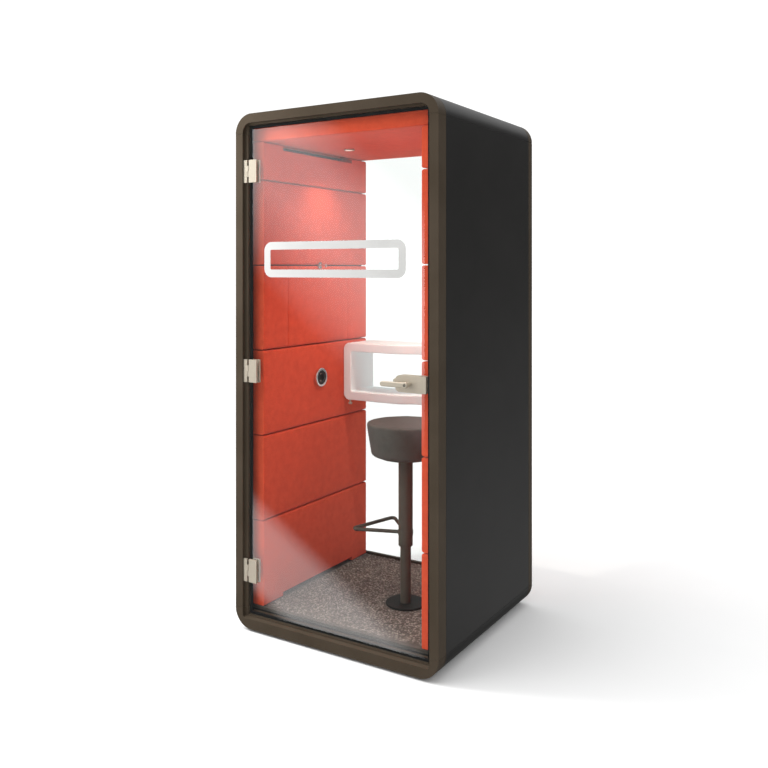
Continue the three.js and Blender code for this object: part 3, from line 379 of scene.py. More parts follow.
# %% Frames, shell and fittings
SIDES = ("top", "bottom", "left", "right")
FRAME_NODES = [f"{end}_frame_{side}" for end in ("front", "rear") for side in SIDES]
SHELL_NODES = ["base_tray", "roof_panel", "side_panel_left", "side_panel_right"]
HINGE_LEVELS = ("lower", "middle", "upper")
FINISHED = [
    ("cabin", "frame_bronze", bronze, 0.0016, FRAME_NODES),
    ("cabin", "shell_dark", shell_laminate, 0.0010, SHELL_NODES),
    ("cabin", "nickel", nickel, 0.0009, [f"hinge_leaf_{level}" for level in HINGE_LEVELS]),
    ("door", "nickel", nickel, 0.0012, [f"hinge_clamp_{level}" for level in HINGE_LEVELS]),
    ("door", "nickel", nickel, 0.0018, ["lock_case"]),
    ("lever", "nickel", nickel, 0.0030, ["lever_outside", "lever_inside"]),
    ("latch", "nickel", nickel, 0.0008, ["latch_bolt"]),
    ("cabin", "black_metal", black_metal, 0.0008, ["strike"]),
    ("door", "glass", door_pane, 0.0010, ["door_glass"]),
    ("cabin", "glass", rear_pane, 0.0010, ["rear_glass"]),
    ("cabin", "black_plastic", black_plastic, 0.0006, ["fan_housing"]),
    ("fan", "black_plastic", black_plastic, 0.0004, ["fan_rotor"]),
]
for body, slot, finish, edge, nodes in FINISHED:
    for node in nodes:
        limit = "WEIGHT" if body == "lever" else "ANGLE"
        install(finished_copy(node, finish, edge, limit), body, slot, node)
print("finished copies", sum(len(nodes) for *_, nodes in FINISHED))

# %% [markdown]
# Felt panels. Each one is foam on a board, wrapped in felt: flat at the back, round along the edges
# that face the room, and a little crowned, so that light rolls off towards the seams. The panel is a
# grid with more lines near its edges, because that is where it bends. Cloth simulation would also
# give a crown, but these panels are stretched tight, and a formula keeps the seams straight.

# %% Padded panels
SEAM_ROUND = 0.009
END_ROUND = 0.0045
SEAM_GAP = 0.0022
JOINT_GAP = 0.0007
JOINT_ROUND = 0.0025
PANEL_CROWN = 0.0016
PANEL_STEP = 0.022
PANEL_UNEVEN = 0.00035
ROUND_STEPS = 6
UNEVEN_SCALE = 7.0
UNEVEN_SEED = 50.0
LEAST_SHARE = 0.2
PANEL_SMOOTH = 50.0


def lines_between(low, high, low_round, high_round):
    """Grid lines from low to high, close together over the rounded edges."""
    turn = [1.0 - math.cos(math.pi / 2 * step / ROUND_STEPS) for step in range(ROUND_STEPS)]
    start = [low + low_round * t for t in turn]
    end = [high - high_round * t for t in reversed(turn)]
    count = max(2, round((high - high_round - low - low_round) / PANEL_STEP))
    middle = np.linspace(low + low_round, high - high_round, count + 1)
    return start + list(middle) + end


def edge_drop(place, low, high, low_round, high_round):
    """How far the surface falls back over a rounded edge."""
    for distance, radius in ((place - low, low_round), (high - place, high_round)):
        if distance < radius:
            share = 1.0 - distance / radius
            return radius * (1.0 - math.sqrt(max(0.0, 1.0 - share * share)))
    return 0.0


def crown_drop(place, low, high):
    """From 0 in the middle of a panel to 1 at its edge, steep near the edge."""
    return ((2.0 * place - low - high) / (high - low)) ** 4


def padded_panel(name, across, along, thickness, rounds, to_world, finish):
    """A felt panel: across and along are its ranges, and to_world places (across, along, height)."""
    across_lines = lines_between(*across, *rounds[:2])
    along_lines = lines_between(*along, *rounds[2:])
    work = bmesh.new()
    rows = []
    for u in across_lines:
        row = []
        for v in along_lines:
            drop = edge_drop(u, *across, *rounds[:2]) + edge_drop(v, *along, *rounds[2:])
            fall = 1.0 - (1.0 - crown_drop(u, *across)) * (1.0 - crown_drop(v, *along))
            spot = Vector((u * UNEVEN_SCALE, v * UNEVEN_SCALE, thickness * UNEVEN_SEED))
            uneven = PANEL_UNEVEN * noise.noise(spot)
            height = thickness - drop - PANEL_CROWN * fall + uneven - PANEL_UNEVEN
            height = max(thickness * LEAST_SHARE, height)
            row.append(work.verts.new(to_world(u, v, height)))
        rows.append(row)
    for near, far in zip(rows, rows[1:]):
        for a, b, c, d in zip(near, near[1:], far[1:], far):
            work.faces.new((a, b, c, d))
    rim = [(u, along_lines[0], row[0]) for u, row in zip(across_lines, rows)]
    rim += [(across_lines[-1], v, vert) for v, vert in list(zip(along_lines, rows[-1]))[1:]]
    rim += [(u, along_lines[-1], row[-1]) for u, row in list(zip(across_lines, rows))[-2::-1]]
    rim += [(across_lines[0], v, vert) for v, vert in list(zip(along_lines, rows[0]))[-2:0:-1]]
    backs = [work.verts.new(to_world(u, v, 0.0)) for u, v, _ in rim]
    for index, (_, _, vert) in enumerate(rim):
        following = (index + 1) % len(rim)
        work.faces.new((vert, rim[following][2], backs[following], backs[index]))
    work.faces.new(backs)
    bmesh.ops.recalc_face_normals(work, faces=work.faces)
    mesh = bpy.data.meshes.new(name)
    work.to_mesh(mesh)
    work.free()
    piece = add_piece(name, mesh, finish)
    smooth(piece, PANEL_SMOOTH)
    return piece


def cut_slot(piece, low, high, finish):
    """Takes a block out of a closed piece."""
    block_mesh = bpy.data.meshes.new("slot_block")
    work = bmesh.new()
    bmesh.ops.create_cube(work, size=1.0)
    for vert in work.verts:
        vert.co = [low[i] if vert.co[i] < 0 else high[i] for i in range(3)]
    work.to_mesh(block_mesh)
    work.free()
    block = bpy.data.objects.new("slot_block", block_mesh)
    scene.collection.objects.link(block)
    cutter = piece.modifiers.new("slot", "BOOLEAN")
    cutter.object = block
    cutter.operation = "DIFFERENCE"
    cutter.solver = "EXACT"
    settle(piece, finish)
    bpy.data.objects.remove(block)
    smooth(piece, PANEL_SMOOTH)


# %% [markdown]
# The walls are rows of such panels with a dark seam between the rows. One row of the left wall is in
# three pieces, whose joints are finer than the seams. The left wall also has two air slots, at the floor
# and under the ceiling, which are cut out of the padded panels.

# %% Wall panels
WALL_NODES = [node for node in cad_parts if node.startswith("wall_")]
AIR_SLOT_HALF = 0.275
FLOOR_SLOT_HEIGHT = 0.020
FLOOR_ROUND = 0.003
TOP_SLOT_HEIGHT = 0.026
OVERCUT = 0.01
bay_middle = sum(box[1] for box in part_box("carpet")) / 2


def wall_panel(node):
    """The felt panel of one wall node, with its air slot where it has one."""
    low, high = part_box(node)
    left = node.startswith("wall_left")
    front_round = JOINT_ROUND if node.endswith(("insert", "rear")) else END_ROUND
    back_round = JOINT_ROUND if node.endswith(("insert", "front")) else END_ROUND

    def to_world(y, z, height):
        return (low.x + height if left else high.x - height, y, z)

    foot_round = FLOOR_ROUND if node.endswith("_1") else SEAM_ROUND
    rounds = (front_round, back_round, foot_round, SEAM_ROUND)
    across = (low.y + (JOINT_GAP if front_round == JOINT_ROUND else 0.0),
              high.y - (JOINT_GAP if back_round == JOINT_ROUND else 0.0))
    along = (low.z + SEAM_GAP, high.z - SEAM_GAP)
    piece = padded_panel(f"{node}_felt", across, along, high.x - low.x, rounds, to_world, orange_felt)
    slots = {"wall_left_1": (low.z - OVERCUT, low.z + FLOOR_SLOT_HEIGHT),
             "wall_left_6": (high.z - TOP_SLOT_HEIGHT, high.z + OVERCUT)}
    if node in slots:
        bottom, top = slots[node]
        cut_slot(piece, (low.x - OVERCUT, bay_middle - AIR_SLOT_HALF, bottom),
                 (high.x + OVERCUT, bay_middle + AIR_SLOT_HALF, top), orange_felt)
    install(piece, "cabin", "upholstery", node)
    return piece


for node in WALL_NODES:
    wall_panel(node)
print("wall panels", len(WALL_NODES))

# %% [markdown]
# The ceiling is one more felt panel, face down, with a deeper fascia at the front that hides the
# air space above it.

# %% Ceiling
FASCIA_THICKNESS = 0.020
CEILING_THICKNESS = 0.030
DUCT_LOW_X, DUCT_HIGH_X = -0.450, -0.410
DUCT_HALF = 0.255
FASCIA_ROUNDS = (0.004, 0.004, 0.008, 0.004)
CEILING_ROUNDS = (0.004, 0.004, 0.002, 0.008)
ceiling_low, ceiling_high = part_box("ceiling_panel")
fascia_back = ceiling_low.y + FASCIA_THICKNESS


def fascia_place(x, z, height):
    return (x, fascia_back - height, z)


def ceiling_place(x, y, height):
    return (x, y, ceiling_low.z + CEILING_THICKNESS - height)


fascia = padded_panel("ceiling_fascia_felt", (ceiling_low.x, ceiling_high.x), (ceiling_low.z, ceiling_high.z),
                      FASCIA_THICKNESS, FASCIA_ROUNDS, fascia_place, orange_felt)
ceiling = padded_panel("ceiling_felt", (ceiling_low.x, ceiling_high.x), (fascia_back, ceiling_high.y),
                       CEILING_THICKNESS, CEILING_ROUNDS, ceiling_place, orange_felt)
cut_slot(ceiling, (DUCT_LOW_X, bay_middle - DUCT_HALF, ceiling_low.z - OVERCUT),
         (DUCT_HIGH_X, bay_middle + DUCT_HALF, ceiling_low.z + CEILING_THICKNESS + OVERCUT), orange_felt)
install(ceiling, "cabin", "upholstery", "ceiling_panel")
install(fascia, "cabin", "upholstery")
print("ceiling", ceiling.name, fascia.name)

# %% [markdown]
# Turned pieces are made on a lathe, so a profile is turned round an axis here as well: the stool's
# column, the hooks, the socket and the lamps.

# %% Helper for turned pieces
TURN_STEPS = 72
SMALL_TURN_STEPS = 24
RUNNING_GAP = 0.0003


def turned(name, profile, centre, axis, finish, edge=0.0008, steps=TURN_STEPS):
    """Turns [radius, height] points round an axis through the centre."""
    work = bmesh.new()
    verts = [work.verts.new((radius, 0.0, height)) for radius, height in profile]
    edges = [work.edges.new(pair) for pair in zip(verts, verts[1:])]
    bmesh.ops.spin(work, geom=verts + edges, cent=(0, 0, 0), axis=(0, 0, 1), dvec=(0, 0, 0),
                   angle=2 * math.pi, steps=steps, use_merge=True)
    bmesh.ops.remove_doubles(work, verts=work.verts, dist=MERGE_DISTANCE)
    bmesh.ops.recalc_face_normals(work, faces=work.faces)
    turn = Vector((0, 0, 1)).rotation_difference(Vector(axis)).to_matrix().to_4x4()
    bmesh.ops.transform(work, matrix=turn, verts=work.verts)
    bmesh.ops.translate(work, vec=centre, verts=work.verts)
    mesh = bpy.data.meshes.new(name)
    work.to_mesh(mesh)
    work.free()
    return round_edges(add_piece(name, mesh, finish), finish, edge)


def middle_of(node):
    low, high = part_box(node)
    return (low + high) / 2


# %% [markdown]
# A screw in the hub holds the outside lever on its spindle. It is a turned cap with a
# recess for the key, set on the front of the hub, so it turns with the lever. Its black finish is
# painted shade: it stands for the dark shadow gap at the hub.

# %% Lever screw
SCREW_STEPS = 36
SCREW_RADIUS = 0.0052
SCREW_PROUD = 0.0006
SCREW_KEY_RADIUS = 0.0022
SCREW_SUNK = 0.0020

lever_low, lever_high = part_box("lever_outside")
hub_radius = (lever_high.z - lever_low.z) / 2
hub_front = (lever_high.x - hub_radius, lever_low.y, (lever_low.z + lever_high.z) / 2)
# The black cap paints the shadow gap at the lever's hub.
hub_shade_screw = turned("hub_shade_screw", [
    (0.0, -SCREW_SUNK),
    (SCREW_RADIUS, -SCREW_SUNK),
    (SCREW_RADIUS, SCREW_PROUD / 2),
    (SCREW_RADIUS - SCREW_PROUD / 2, SCREW_PROUD),
    (SCREW_KEY_RADIUS, SCREW_PROUD),
    (SCREW_KEY_RADIUS, -SCREW_SUNK / 2),
    (0.0, -SCREW_SUNK / 2),
], hub_front, (0, -1, 0), black_metal, edge=0.0001, steps=SCREW_STEPS)
install(hub_shade_screw, "lever", "black_metal")
print("lever screw at", [round(v, 4) for v in hub_front])

# %% [markdown]
# The stool's post is fixed to the floor by a flange. A sleeve slides on the post to set the height, and
# the seat pan turns on a pivot in the top of the sleeve. All are turned, hollow where the next one runs,
# with a small gap between them so that no two surfaces meet when they move.

# %% Stool column
POST_RADIUS = 0.0235
FLANGE_THICKNESS = 0.008
SLEEVE_CHAMFER = 0.002
SLEEVE_CAP = 0.045
PIVOT_RADIUS = 0.012
PIVOT_LENGTH = 0.032

base_low, base_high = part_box("stool_base")
flange_radius = (base_high.x - base_low.x) / 2
stool_x, stool_y, _ = middle_of("stool_base")
# The flange takes the darkened paint, which paints the seat's shadow on it.
flange = turned("stool_flange", [
    (POST_RADIUS, 0.0),
    (flange_radius, 0.0),
    (flange_radius, FLANGE_THICKNESS),
    (POST_RADIUS, FLANGE_THICKNESS),
    (POST_RADIUS, 0.0),
], (stool_x, stool_y, base_low.z), (0, 0, 1), flange_painted_shade, edge=0.0025)
post = turned("stool_post", [
    (0.0, 0.0),
    (POST_RADIUS, 0.0),
    (POST_RADIUS, base_high.z - base_low.z),
    (0.0, base_high.z - base_low.z),
], (stool_x, stool_y, base_low.z), (0, 0, 1), stool_paint)
install(post, "cabin", "stool_metal", "stool_base")
install(flange, "cabin", "stool_metal")

sleeve_low, sleeve_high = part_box("stool_sleeve")
sleeve_radius = (sleeve_high.x - sleeve_low.x) / 2
sleeve_length = sleeve_high.z - sleeve_low.z
bore_radius = POST_RADIUS + RUNNING_GAP
sleeve = turned("stool_sleeve_tube", [
    (0.0, sleeve_length - SLEEVE_CAP),
    (bore_radius, sleeve_length - SLEEVE_CAP),
    (bore_radius, 0.0),
    (sleeve_radius - SLEEVE_CHAMFER / 2, 0.0),
    (sleeve_radius, SLEEVE_CHAMFER),
    (sleeve_radius, sleeve_length),
    (PIVOT_RADIUS + RUNNING_GAP, sleeve_length),
    (PIVOT_RADIUS + RUNNING_GAP, sleeve_length - PIVOT_LENGTH),
    (0.0, sleeve_length - PIVOT_LENGTH),
], (stool_x, stool_y, sleeve_low.z), (0, 0, 1), stool_paint)
install(sleeve, "stool_column", "stool_metal", "stool_sleeve")

pan_low, pan_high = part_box("stool_seat_pan")
pan_radius = (pan_high.x - pan_low.x) / 2
pan_length = pan_high.z - pan_low.z
pan = turned("stool_pan", [
    (0.0, RUNNING_GAP),
    (PIVOT_RADIUS, RUNNING_GAP),
    (PIVOT_RADIUS, PIVOT_LENGTH + RUNNING_GAP),
    (pan_radius, PIVOT_LENGTH + RUNNING_GAP),
    (pan_radius, pan_length),
    (0.0, pan_length),
], (stool_x, stool_y, pan_low.z), (0, 0, 1), stool_paint)
install(pan, "seat", "stool_metal", "stool_seat_pan")
print("stool column at", round(stool_x, 4), round(stool_y, 4))

# %% [markdown]
# The seat is a drum of foam in grey felt, wider at the top than at the bottom. The drum is turned a
# little too small, its skin is remeshed, and a cloth simulation blows it up against the felt, which
# domes the top and bows the side as foam does. A cap on the movement keeps it within its place.

# %% Stool cushion
SEAT_TOP_RADIUS = 0.1712
SEAT_BOTTOM_RADIUS = 0.1520
SEAT_TOP_ROUND = 0.006
SEAT_BOTTOM_ROUND = 0.020
SEAT_DOME = 0.002
SEAT_STEPS = 120
SEAT_LEAN = 4
SEAT_RIM_ANGLE = 82
SEAT_ARC_STEPS = 8
SEAT_FOOT_RING = 0.06
SEAT_TOP_START = 0.96
SEAT_TOP_STEPS = 14
SEAT_SMOOTH = 60.0
SEAT_EDGE = 0.0001
SEAT_VOXEL = 0.0045
SEAT_PRESSURE = 2.0
SEAT_SWELL = 0.0014

cushion_low, cushion_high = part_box("stool_cushion")
cushion_height = cushion_high.z - cushion_low.z


def arc(centre, radius, first, last, steps):
    """Points on an arc between two angles in degrees."""
    angles = np.linspace(math.radians(first), math.radians(last), steps + 1)
    return [(centre[0] + radius * math.cos(a), centre[1] + radius * math.sin(a)) for a in angles]


def points_between(first, last, steps):
    """The points that divide a straight line into equal steps, without its ends."""
    shares = np.linspace(0.0, 1.0, steps + 1)[1:-1]
    return [tuple(np.array(first) * (1.0 - t) + np.array(last) * t) for t in shares]


def seat_profile():
    """Half a section of the drum, from the middle of its foot to the middle of its top."""
    foot_centre = (SEAT_BOTTOM_RADIUS - SEAT_BOTTOM_ROUND, SEAT_BOTTOM_ROUND)
    head_centre = (SEAT_TOP_RADIUS - SEAT_TOP_ROUND, cushion_height - SEAT_TOP_ROUND)
    foot = arc(foot_centre, SEAT_BOTTOM_ROUND, -90, -SEAT_LEAN, SEAT_ARC_STEPS)
    head = arc(head_centre, SEAT_TOP_ROUND, -SEAT_LEAN, SEAT_RIM_ANGLE, SEAT_ARC_STEPS)
    side = points_between(foot[-1], head[0], SEAT_ARC_STEPS)
    rim_radius = head[-1][0]
    shares = np.linspace(SEAT_TOP_START, 0.0, SEAT_TOP_STEPS)
    top = [(rim_radius * r, cushion_height + SEAT_DOME * (1.0 - r * r)) for r in shares]
    return [(0.0, 0.0), (SEAT_FOOT_RING, 0.0)] + foot + side + head + top


def swollen(piece, finish, voxel, pressure, most, frames=20):
    """Cloth over foam: blows up the skin of a closed piece, and no point moves further than most."""
    remesh = piece.modifiers.new("voxels", "REMESH")
    remesh.mode = "VOXEL"
    remesh.voxel_size = voxel
    relax = piece.modifiers.new("relax", "SMOOTH")
    relax.iterations = 2
    settle(piece, finish)
    before = [vert.co.copy() for vert in piece.data.vertices]
    cloth = piece.modifiers.new("cloth", "CLOTH")
    cloth.settings.use_pressure = True
    cloth.settings.uniform_pressure_force = pressure
    cloth.settings.effector_weights.gravity = 0.0
    cloth.point_cache.frame_start, cloth.point_cache.frame_end = 1, frames
    for step in range(1, frames + 1):
        scene.frame_set(step)
    settle(piece, finish)
    scene.frame_set(1)
    for vert, start in zip(piece.data.vertices, before):
        move = vert.co - start
        if move.length > most:
            vert.co = start + move.normalized() * most
    finer = piece.modifiers.new("finer", "SUBSURF")
    finer.levels = finer.render_levels = 1
    settle(piece, finish)
    smooth(piece, SEAT_SMOOTH)
    return piece


def stool_cushion():
    foot = (stool_x, stool_y, cushion_low.z)
    piece = turned("stool_seat_felt", seat_profile(), foot, (0, 0, 1), grey_felt, edge=SEAT_EDGE,
                   steps=SEAT_STEPS)
    swollen(piece, grey_felt, SEAT_VOXEL, SEAT_PRESSURE, SEAT_SWELL)
    for vert in piece.data.vertices:
        vert.co.z = max(vert.co.z, cushion_low.z)
    return piece


cushion = install(stool_cushion(), "seat", "stool_fabric", "stool_cushion")
print("seat", round(cushion_low.z, 4), round(cushion_high.z, 4))

# %% [markdown]
# Some pieces follow a path: the footrest is one bent rod, and the seals run round the glass. Both
# are the same idea, a section swept along a curve with rounded corners, so one small set of
# Geometry Nodes makes them all from a path of plain edges.


# %% Geometry Nodes that sweep a section along a path
PATH_BEND_STEPS = 10
SECTION_BEND_STEPS = 5

def node_tree(name, sockets):
    """A new tree with a geometry input, the named inputs and a geometry output."""
    tree = bpy.data.node_groups.new(name, "GeometryNodeTree")
    tree.interface.new_socket("Geometry", in_out="INPUT", socket_type="NodeSocketGeometry")
    for label, kind in sockets:
        tree.interface.new_socket(label, in_out="INPUT", socket_type=f"NodeSocket{kind}")
    tree.interface.new_socket("Geometry", in_out="OUTPUT", socket_type="NodeSocketGeometry")
    return tree, tree.nodes.new("NodeGroupInput"), tree.nodes.new("NodeGroupOutput")


def joined(tree, kind, links=None, **settings):
    """A new node, with its settings, and its inputs linked to the outputs given."""
    node = tree.nodes.new(kind)
    for label, value in settings.items():
        setattr(node, label, value)
    for label, source in (links or {}).items():
        tree.links.new(source, node.inputs[label])
    return node


def sweep_tree():
    """Sweeps a rounded rectangle along the edges of a mesh, with rounded bends."""
    tree, given, result = node_tree("sweep_section", [
        ("Corner Radius", "Float"), ("Section Width", "Float"), ("Section Depth", "Float"),
        ("Section Round", "Float"), ("Finish", "Material"),
    ])
    path = joined(tree, "GeometryNodeMeshToCurve", {"Mesh": given.outputs["Geometry"]})
    bent = joined(tree, "GeometryNodeFilletCurve", {
        "Curve": path.outputs["Curve"], "Radius": given.outputs["Corner Radius"]}, mode="POLY")
    bent.inputs["Count"].default_value = PATH_BEND_STEPS
    section = joined(tree, "GeometryNodeCurvePrimitiveQuadrilateral", {
        "Width": given.outputs["Section Depth"], "Height": given.outputs["Section Width"]})
    softened = joined(tree, "GeometryNodeFilletCurve", {
        "Curve": section.outputs["Curve"], "Radius": given.outputs["Section Round"]}, mode="POLY")
    softened.inputs["Count"].default_value = SECTION_BEND_STEPS
    softened.inputs["Limit Radius"].default_value = True
    swept = joined(tree, "GeometryNodeCurveToMesh", {
        "Curve": bent.outputs["Curve"], "Profile Curve": softened.outputs["Curve"]})
    swept.inputs["Fill Caps"].default_value = True
    real = joined(tree, "GeometryNodeRealizeInstances", {"Geometry": swept.outputs["Mesh"]})
    dressed = joined(tree, "GeometryNodeSetMaterial", {
        "Geometry": real.outputs["Geometry"], "Material": given.outputs["Finish"]})
    tree.links.new(dressed.outputs["Geometry"], result.inputs["Geometry"])
    return tree


SWEEP = sweep_tree()


def with_nodes(name, mesh, tree, finish, **inputs):
    """Runs a node tree on a mesh and keeps the result as a plain piece."""
    piece = add_piece(name, mesh, finish)
    modifier = piece.modifiers.new("nodes", "NODES")
    modifier.node_group = tree
    sockets = [item for item in tree.interface.items_tree if item.in_out == "INPUT"]
    identifiers = {socket.name: socket.identifier for socket in sockets}
    for label, value in {**inputs, "Finish": finish}.items():
        modifier[identifiers[label.replace("_", " ")]] = value
    settle(piece, finish)
    work = bmesh.new()
    work.from_mesh(piece.data)
    bmesh.ops.remove_doubles(work, verts=work.verts, dist=MERGE_DISTANCE)
    bmesh.ops.recalc_face_normals(work, faces=work.faces)
    work.to_mesh(piece.data)
    work.free()
    smooth(piece)
    return piece


def path_mesh(name, points, closed):
    """Points joined by plain edges, as a path for the sweep."""
    mesh = bpy.data.meshes.new(name)
    edges = [(i, i + 1) for i in range(len(points) - 1)]
    if closed:
        edges.append((len(points) - 1, 0))
    mesh.from_pydata(points, edges, [])
    return mesh


def swept(name, points, closed, finish, radius, width, depth, section_round):
    """A section swept along points, with bends of that radius."""
    return with_nodes(name, path_mesh(name, points, closed), SWEEP, finish, Corner_Radius=radius,
                      Section_Width=width, Section_Depth=depth, Section_Round=section_round)


# %% [markdown]
# The footrest is one round rod, bent twice and welded to a thin collar on the sleeve. A rod is a round
# section on a path, so it is swept, and the collar is turned.

# %% Footrest
FOOTREST_ROD = 0.016
FOOTREST_BEND = 0.014
COLLAR_WALL = 0.002
COLLAR_HEIGHT = 0.022
COLLAR_EDGE = 0.0012
FOOTREST_CORNERS = [(-0.230, -0.085), (-0.161, 0.168)]

footrest_z = middle_of("stool_footrest").z
weld = sleeve_radius + COLLAR_WALL / 2
plan = [Vector((*corner, 0.0)) for corner in FOOTREST_CORNERS]
plan = [plan[0].normalized() * weld, *plan, plan[1].normalized() * weld]
route = [(stool_x + p.x, stool_y + p.y, footrest_z) for p in plan]
rod = swept("stool_footrest_rod", route, False, stool_paint, FOOTREST_BEND, FOOTREST_ROD, FOOTREST_ROD,
            FOOTREST_ROD / 2)
collar_radius = sleeve_radius + COLLAR_WALL
collar = turned("stool_footrest_collar", [
    (sleeve_radius + RUNNING_GAP, -COLLAR_HEIGHT / 2),
    (collar_radius, -COLLAR_HEIGHT / 2),
    (collar_radius, COLLAR_HEIGHT / 2),
    (sleeve_radius + RUNNING_GAP, COLLAR_HEIGHT / 2),
    (sleeve_radius + RUNNING_GAP, -COLLAR_HEIGHT / 2),
], (stool_x, stool_y, footrest_z), (0, 0, 1), stool_paint, edge=COLLAR_EDGE)
install(rod, "stool_column", "stool_metal", "stool_footrest")
install(collar, "stool_column", "stool_metal")
print("footrest faces", len(rod.data.polygons))

# %% [markdown]
# Seals close the gaps round the glass: a black rubber lip on the stop that the door shuts against, and
# a bead on each side of the rear pane. They are sections swept round a rectangle. The marker on the
# door is a white film cut as a band, so it is swept in the same way, as thin as film.

# %% Seals round the glass, and the marker on the door
STOP_LEFT, STOP_RIGHT, STOP_LOW, STOP_HIGH = -0.428, 0.440, 0.078, 2.169
STOP_WIDTH = 0.012
SEAL_BEND = 0.004
SEAL_OVER = 0.0008
SEAL_DEPTH = 0.0070
SEAL_SECTION_ROUND = 0.0018
SEAL_CLEAR = 0.0001
BEAD_HALF_WIDTH = 0.446
BEAD_IN = 0.010
BEAD_OFF = 0.0016
BEAD_WIDTH, BEAD_DEPTH, BEAD_ROUND = 0.006, 0.003, 0.001
MARKER_WIDTH, MARKER_HEIGHT, MARKER_BAND = 0.700, 0.150, 0.033
MARKER_MIDDLE = 1.600
MARKER_BEND = 0.0215
MARKER_FILM = 0.0004
door_low, door_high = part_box("door_glass")
rear_low, rear_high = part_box("rear_glass")

def around(left, right, low, high, y):
    """The corners of an upright rectangle at depth y."""
    return [(left, y, low), (right, y, low), (right, y, high), (left, y, high)]

seal_half = (STOP_WIDTH + SEAL_OVER) / 2
seal_out = STOP_WIDTH - seal_half
seal_y = door_high.y + SEAL_CLEAR + SEAL_DEPTH / 2
seal_path = around(STOP_LEFT - seal_out, STOP_RIGHT + seal_out, STOP_LOW - seal_out, STOP_HIGH + seal_out,
                   seal_y)
door_seal = swept("door_seal", seal_path, True, rubber, SEAL_BEND, 2 * seal_half, SEAL_DEPTH,
                  SEAL_SECTION_ROUND)
install(door_seal, "cabin", "rubber")

for side, y in (("inner", rear_low.y - BEAD_OFF), ("outer", rear_high.y + BEAD_OFF)):
    bead_path = around(-BEAD_HALF_WIDTH, BEAD_HALF_WIDTH, rear_low.z + BEAD_IN, rear_high.z - BEAD_IN, y)
    bead = swept(f"rear_seal_{side}", bead_path, True, rubber, SEAL_BEND, BEAD_WIDTH, BEAD_DEPTH, BEAD_ROUND)
    install(bead, "cabin", "rubber")

marker_x, marker_z = (MARKER_WIDTH - MARKER_BAND) / 2, (MARKER_HEIGHT - MARKER_BAND) / 2
marker_path = around(-marker_x, marker_x, MARKER_MIDDLE - marker_z, MARKER_MIDDLE + marker_z,
                     door_low.y - MARKER_FILM)
marker = swept("door_marker", marker_path, True, marker_film, MARKER_BEND, MARKER_BAND, MARKER_FILM, 0.0)
install(marker, "door", "table_white")
print("seals and marker", door_seal.name, marker.name)

# %% [markdown]
# The table is a closed loop of white board. Its front edge eases back in a shallow bay, so the loop
# is drawn point by point round its outline, and each point takes its depth from the bay's curve.

# %% Table loop
TABLE_BOARD = 0.043
TABLE_OUTER_ROUND = 0.032
TABLE_INNER_ROUND = 0.008
TABLE_EDGE = 0.005
BAY_DEPTH = 0.043
BAY_FLAT_HALF = 0.084
BAY_EASE = 0.140
BAY_SAMPLES = 40
BOARD_STEPS = 60
CORNER_STEPS = 10
END_STEPS = 8
table_low, table_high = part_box("table_loop")


def bay_front(x):
    """Depth of the table's front edge at x."""
    t = np.linspace(0.0, 1.0, BAY_SAMPLES)
    from_start = BAY_EASE * (1.5 * t - 1.5 * t ** 2 + t ** 3)
    depth = BAY_DEPTH * (3 * t ** 2 - 2 * t ** 3)
    inwards = BAY_FLAT_HALF + BAY_EASE - abs(x - stool_x)
    return table_low.y + float(np.interp(inwards, from_start, depth))


def rounded_outline(left, right, low, high, radius):
    """Points round a rectangle with round corners, counted alike for any size."""
    corners = [(right - radius, low + radius, -90), (right - radius, high - radius, 0),
               (left + radius, high - radius, 90), (left + radius, low + radius, 180)]
    points = []
    for index, (x, z, angle) in enumerate(corners):
        bend = arc((x, z), radius, angle, angle + 90, CORNER_STEPS)
        after = corners[(index + 1) % 4]
        goal = arc(after[:2], radius, after[2], after[2] + 90, 1)[0]
        steps = END_STEPS if index % 2 == 0 else BOARD_STEPS
        points += bend + points_between(bend[-1], goal, steps)
    return points


def table_loop():
    """Four rings of points, joined to a closed loop and rounded along its edges."""
    outer = rounded_outline(table_low.x, table_high.x, table_low.z, table_high.z, TABLE_OUTER_ROUND)
    inner = rounded_outline(table_low.x + TABLE_BOARD, table_high.x - TABLE_BOARD,
                            table_low.z + TABLE_BOARD, table_high.z - TABLE_BOARD, TABLE_INNER_ROUND)
    rings = [
        [(x, bay_front(x), z) for x, z in outer],
        [(x, bay_front(x), z) for x, z in inner],
        [(x, table_high.y, z) for x, z in inner],
        [(x, table_high.y, z) for x, z in outer],
    ]
    work = bmesh.new()
    loops = [[work.verts.new(point) for point in ring] for ring in rings]
    for near, far in zip(loops, loops[1:] + loops[:1]):
        for index in range(len(near)):
            following = (index + 1) % len(near)
            work.faces.new((near[index], near[following], far[following], far[index]))
    bmesh.ops.recalc_face_normals(work, faces=work.faces)
    mesh = bpy.data.meshes.new("table_board_loop")
    work.to_mesh(mesh)
    work.free()
    piece = add_piece("table_board_loop", mesh, table_white)
    return round_edges(piece, table_white, TABLE_EDGE, steps=4)


install(table_loop(), "cabin", "table_white", "table_loop")
print("table", [round(v, 4) for v in table_low], [round(v, 4) for v in table_high])

# %% [markdown]
# Two hooks: a bright peg on the left wall for a coat, and a knob under the table for a bag. Both are
# turned, from a foot or neck to a rounded head. The head of the peg is measured back from its tip, so
# the peg keeps its head whatever its reach.

# %% Hooks
HOOK_EDGE = 0.0005
PEG_FOOT = [(0.0, 0.0), (0.016, 0.0), (0.016, 0.0025), (0.008, 0.0037), (0.005, 0.008)]
PEG_HEAD = [(0.005, 0.011), (0.008, 0.0075), (0.009, 0.005), (0.0075, 0.0015), (0.004, 0.0), (0.0, 0.0)]
KNOB_HEAD = [(0.0, 0.0), (0.006, 0.0), (0.0088, 0.0012), (0.010, 0.004), (0.010, 0.008), (0.0085, 0.0105)]
KNOB_NECK = 0.005
KNOB_NECK_START = 0.0115

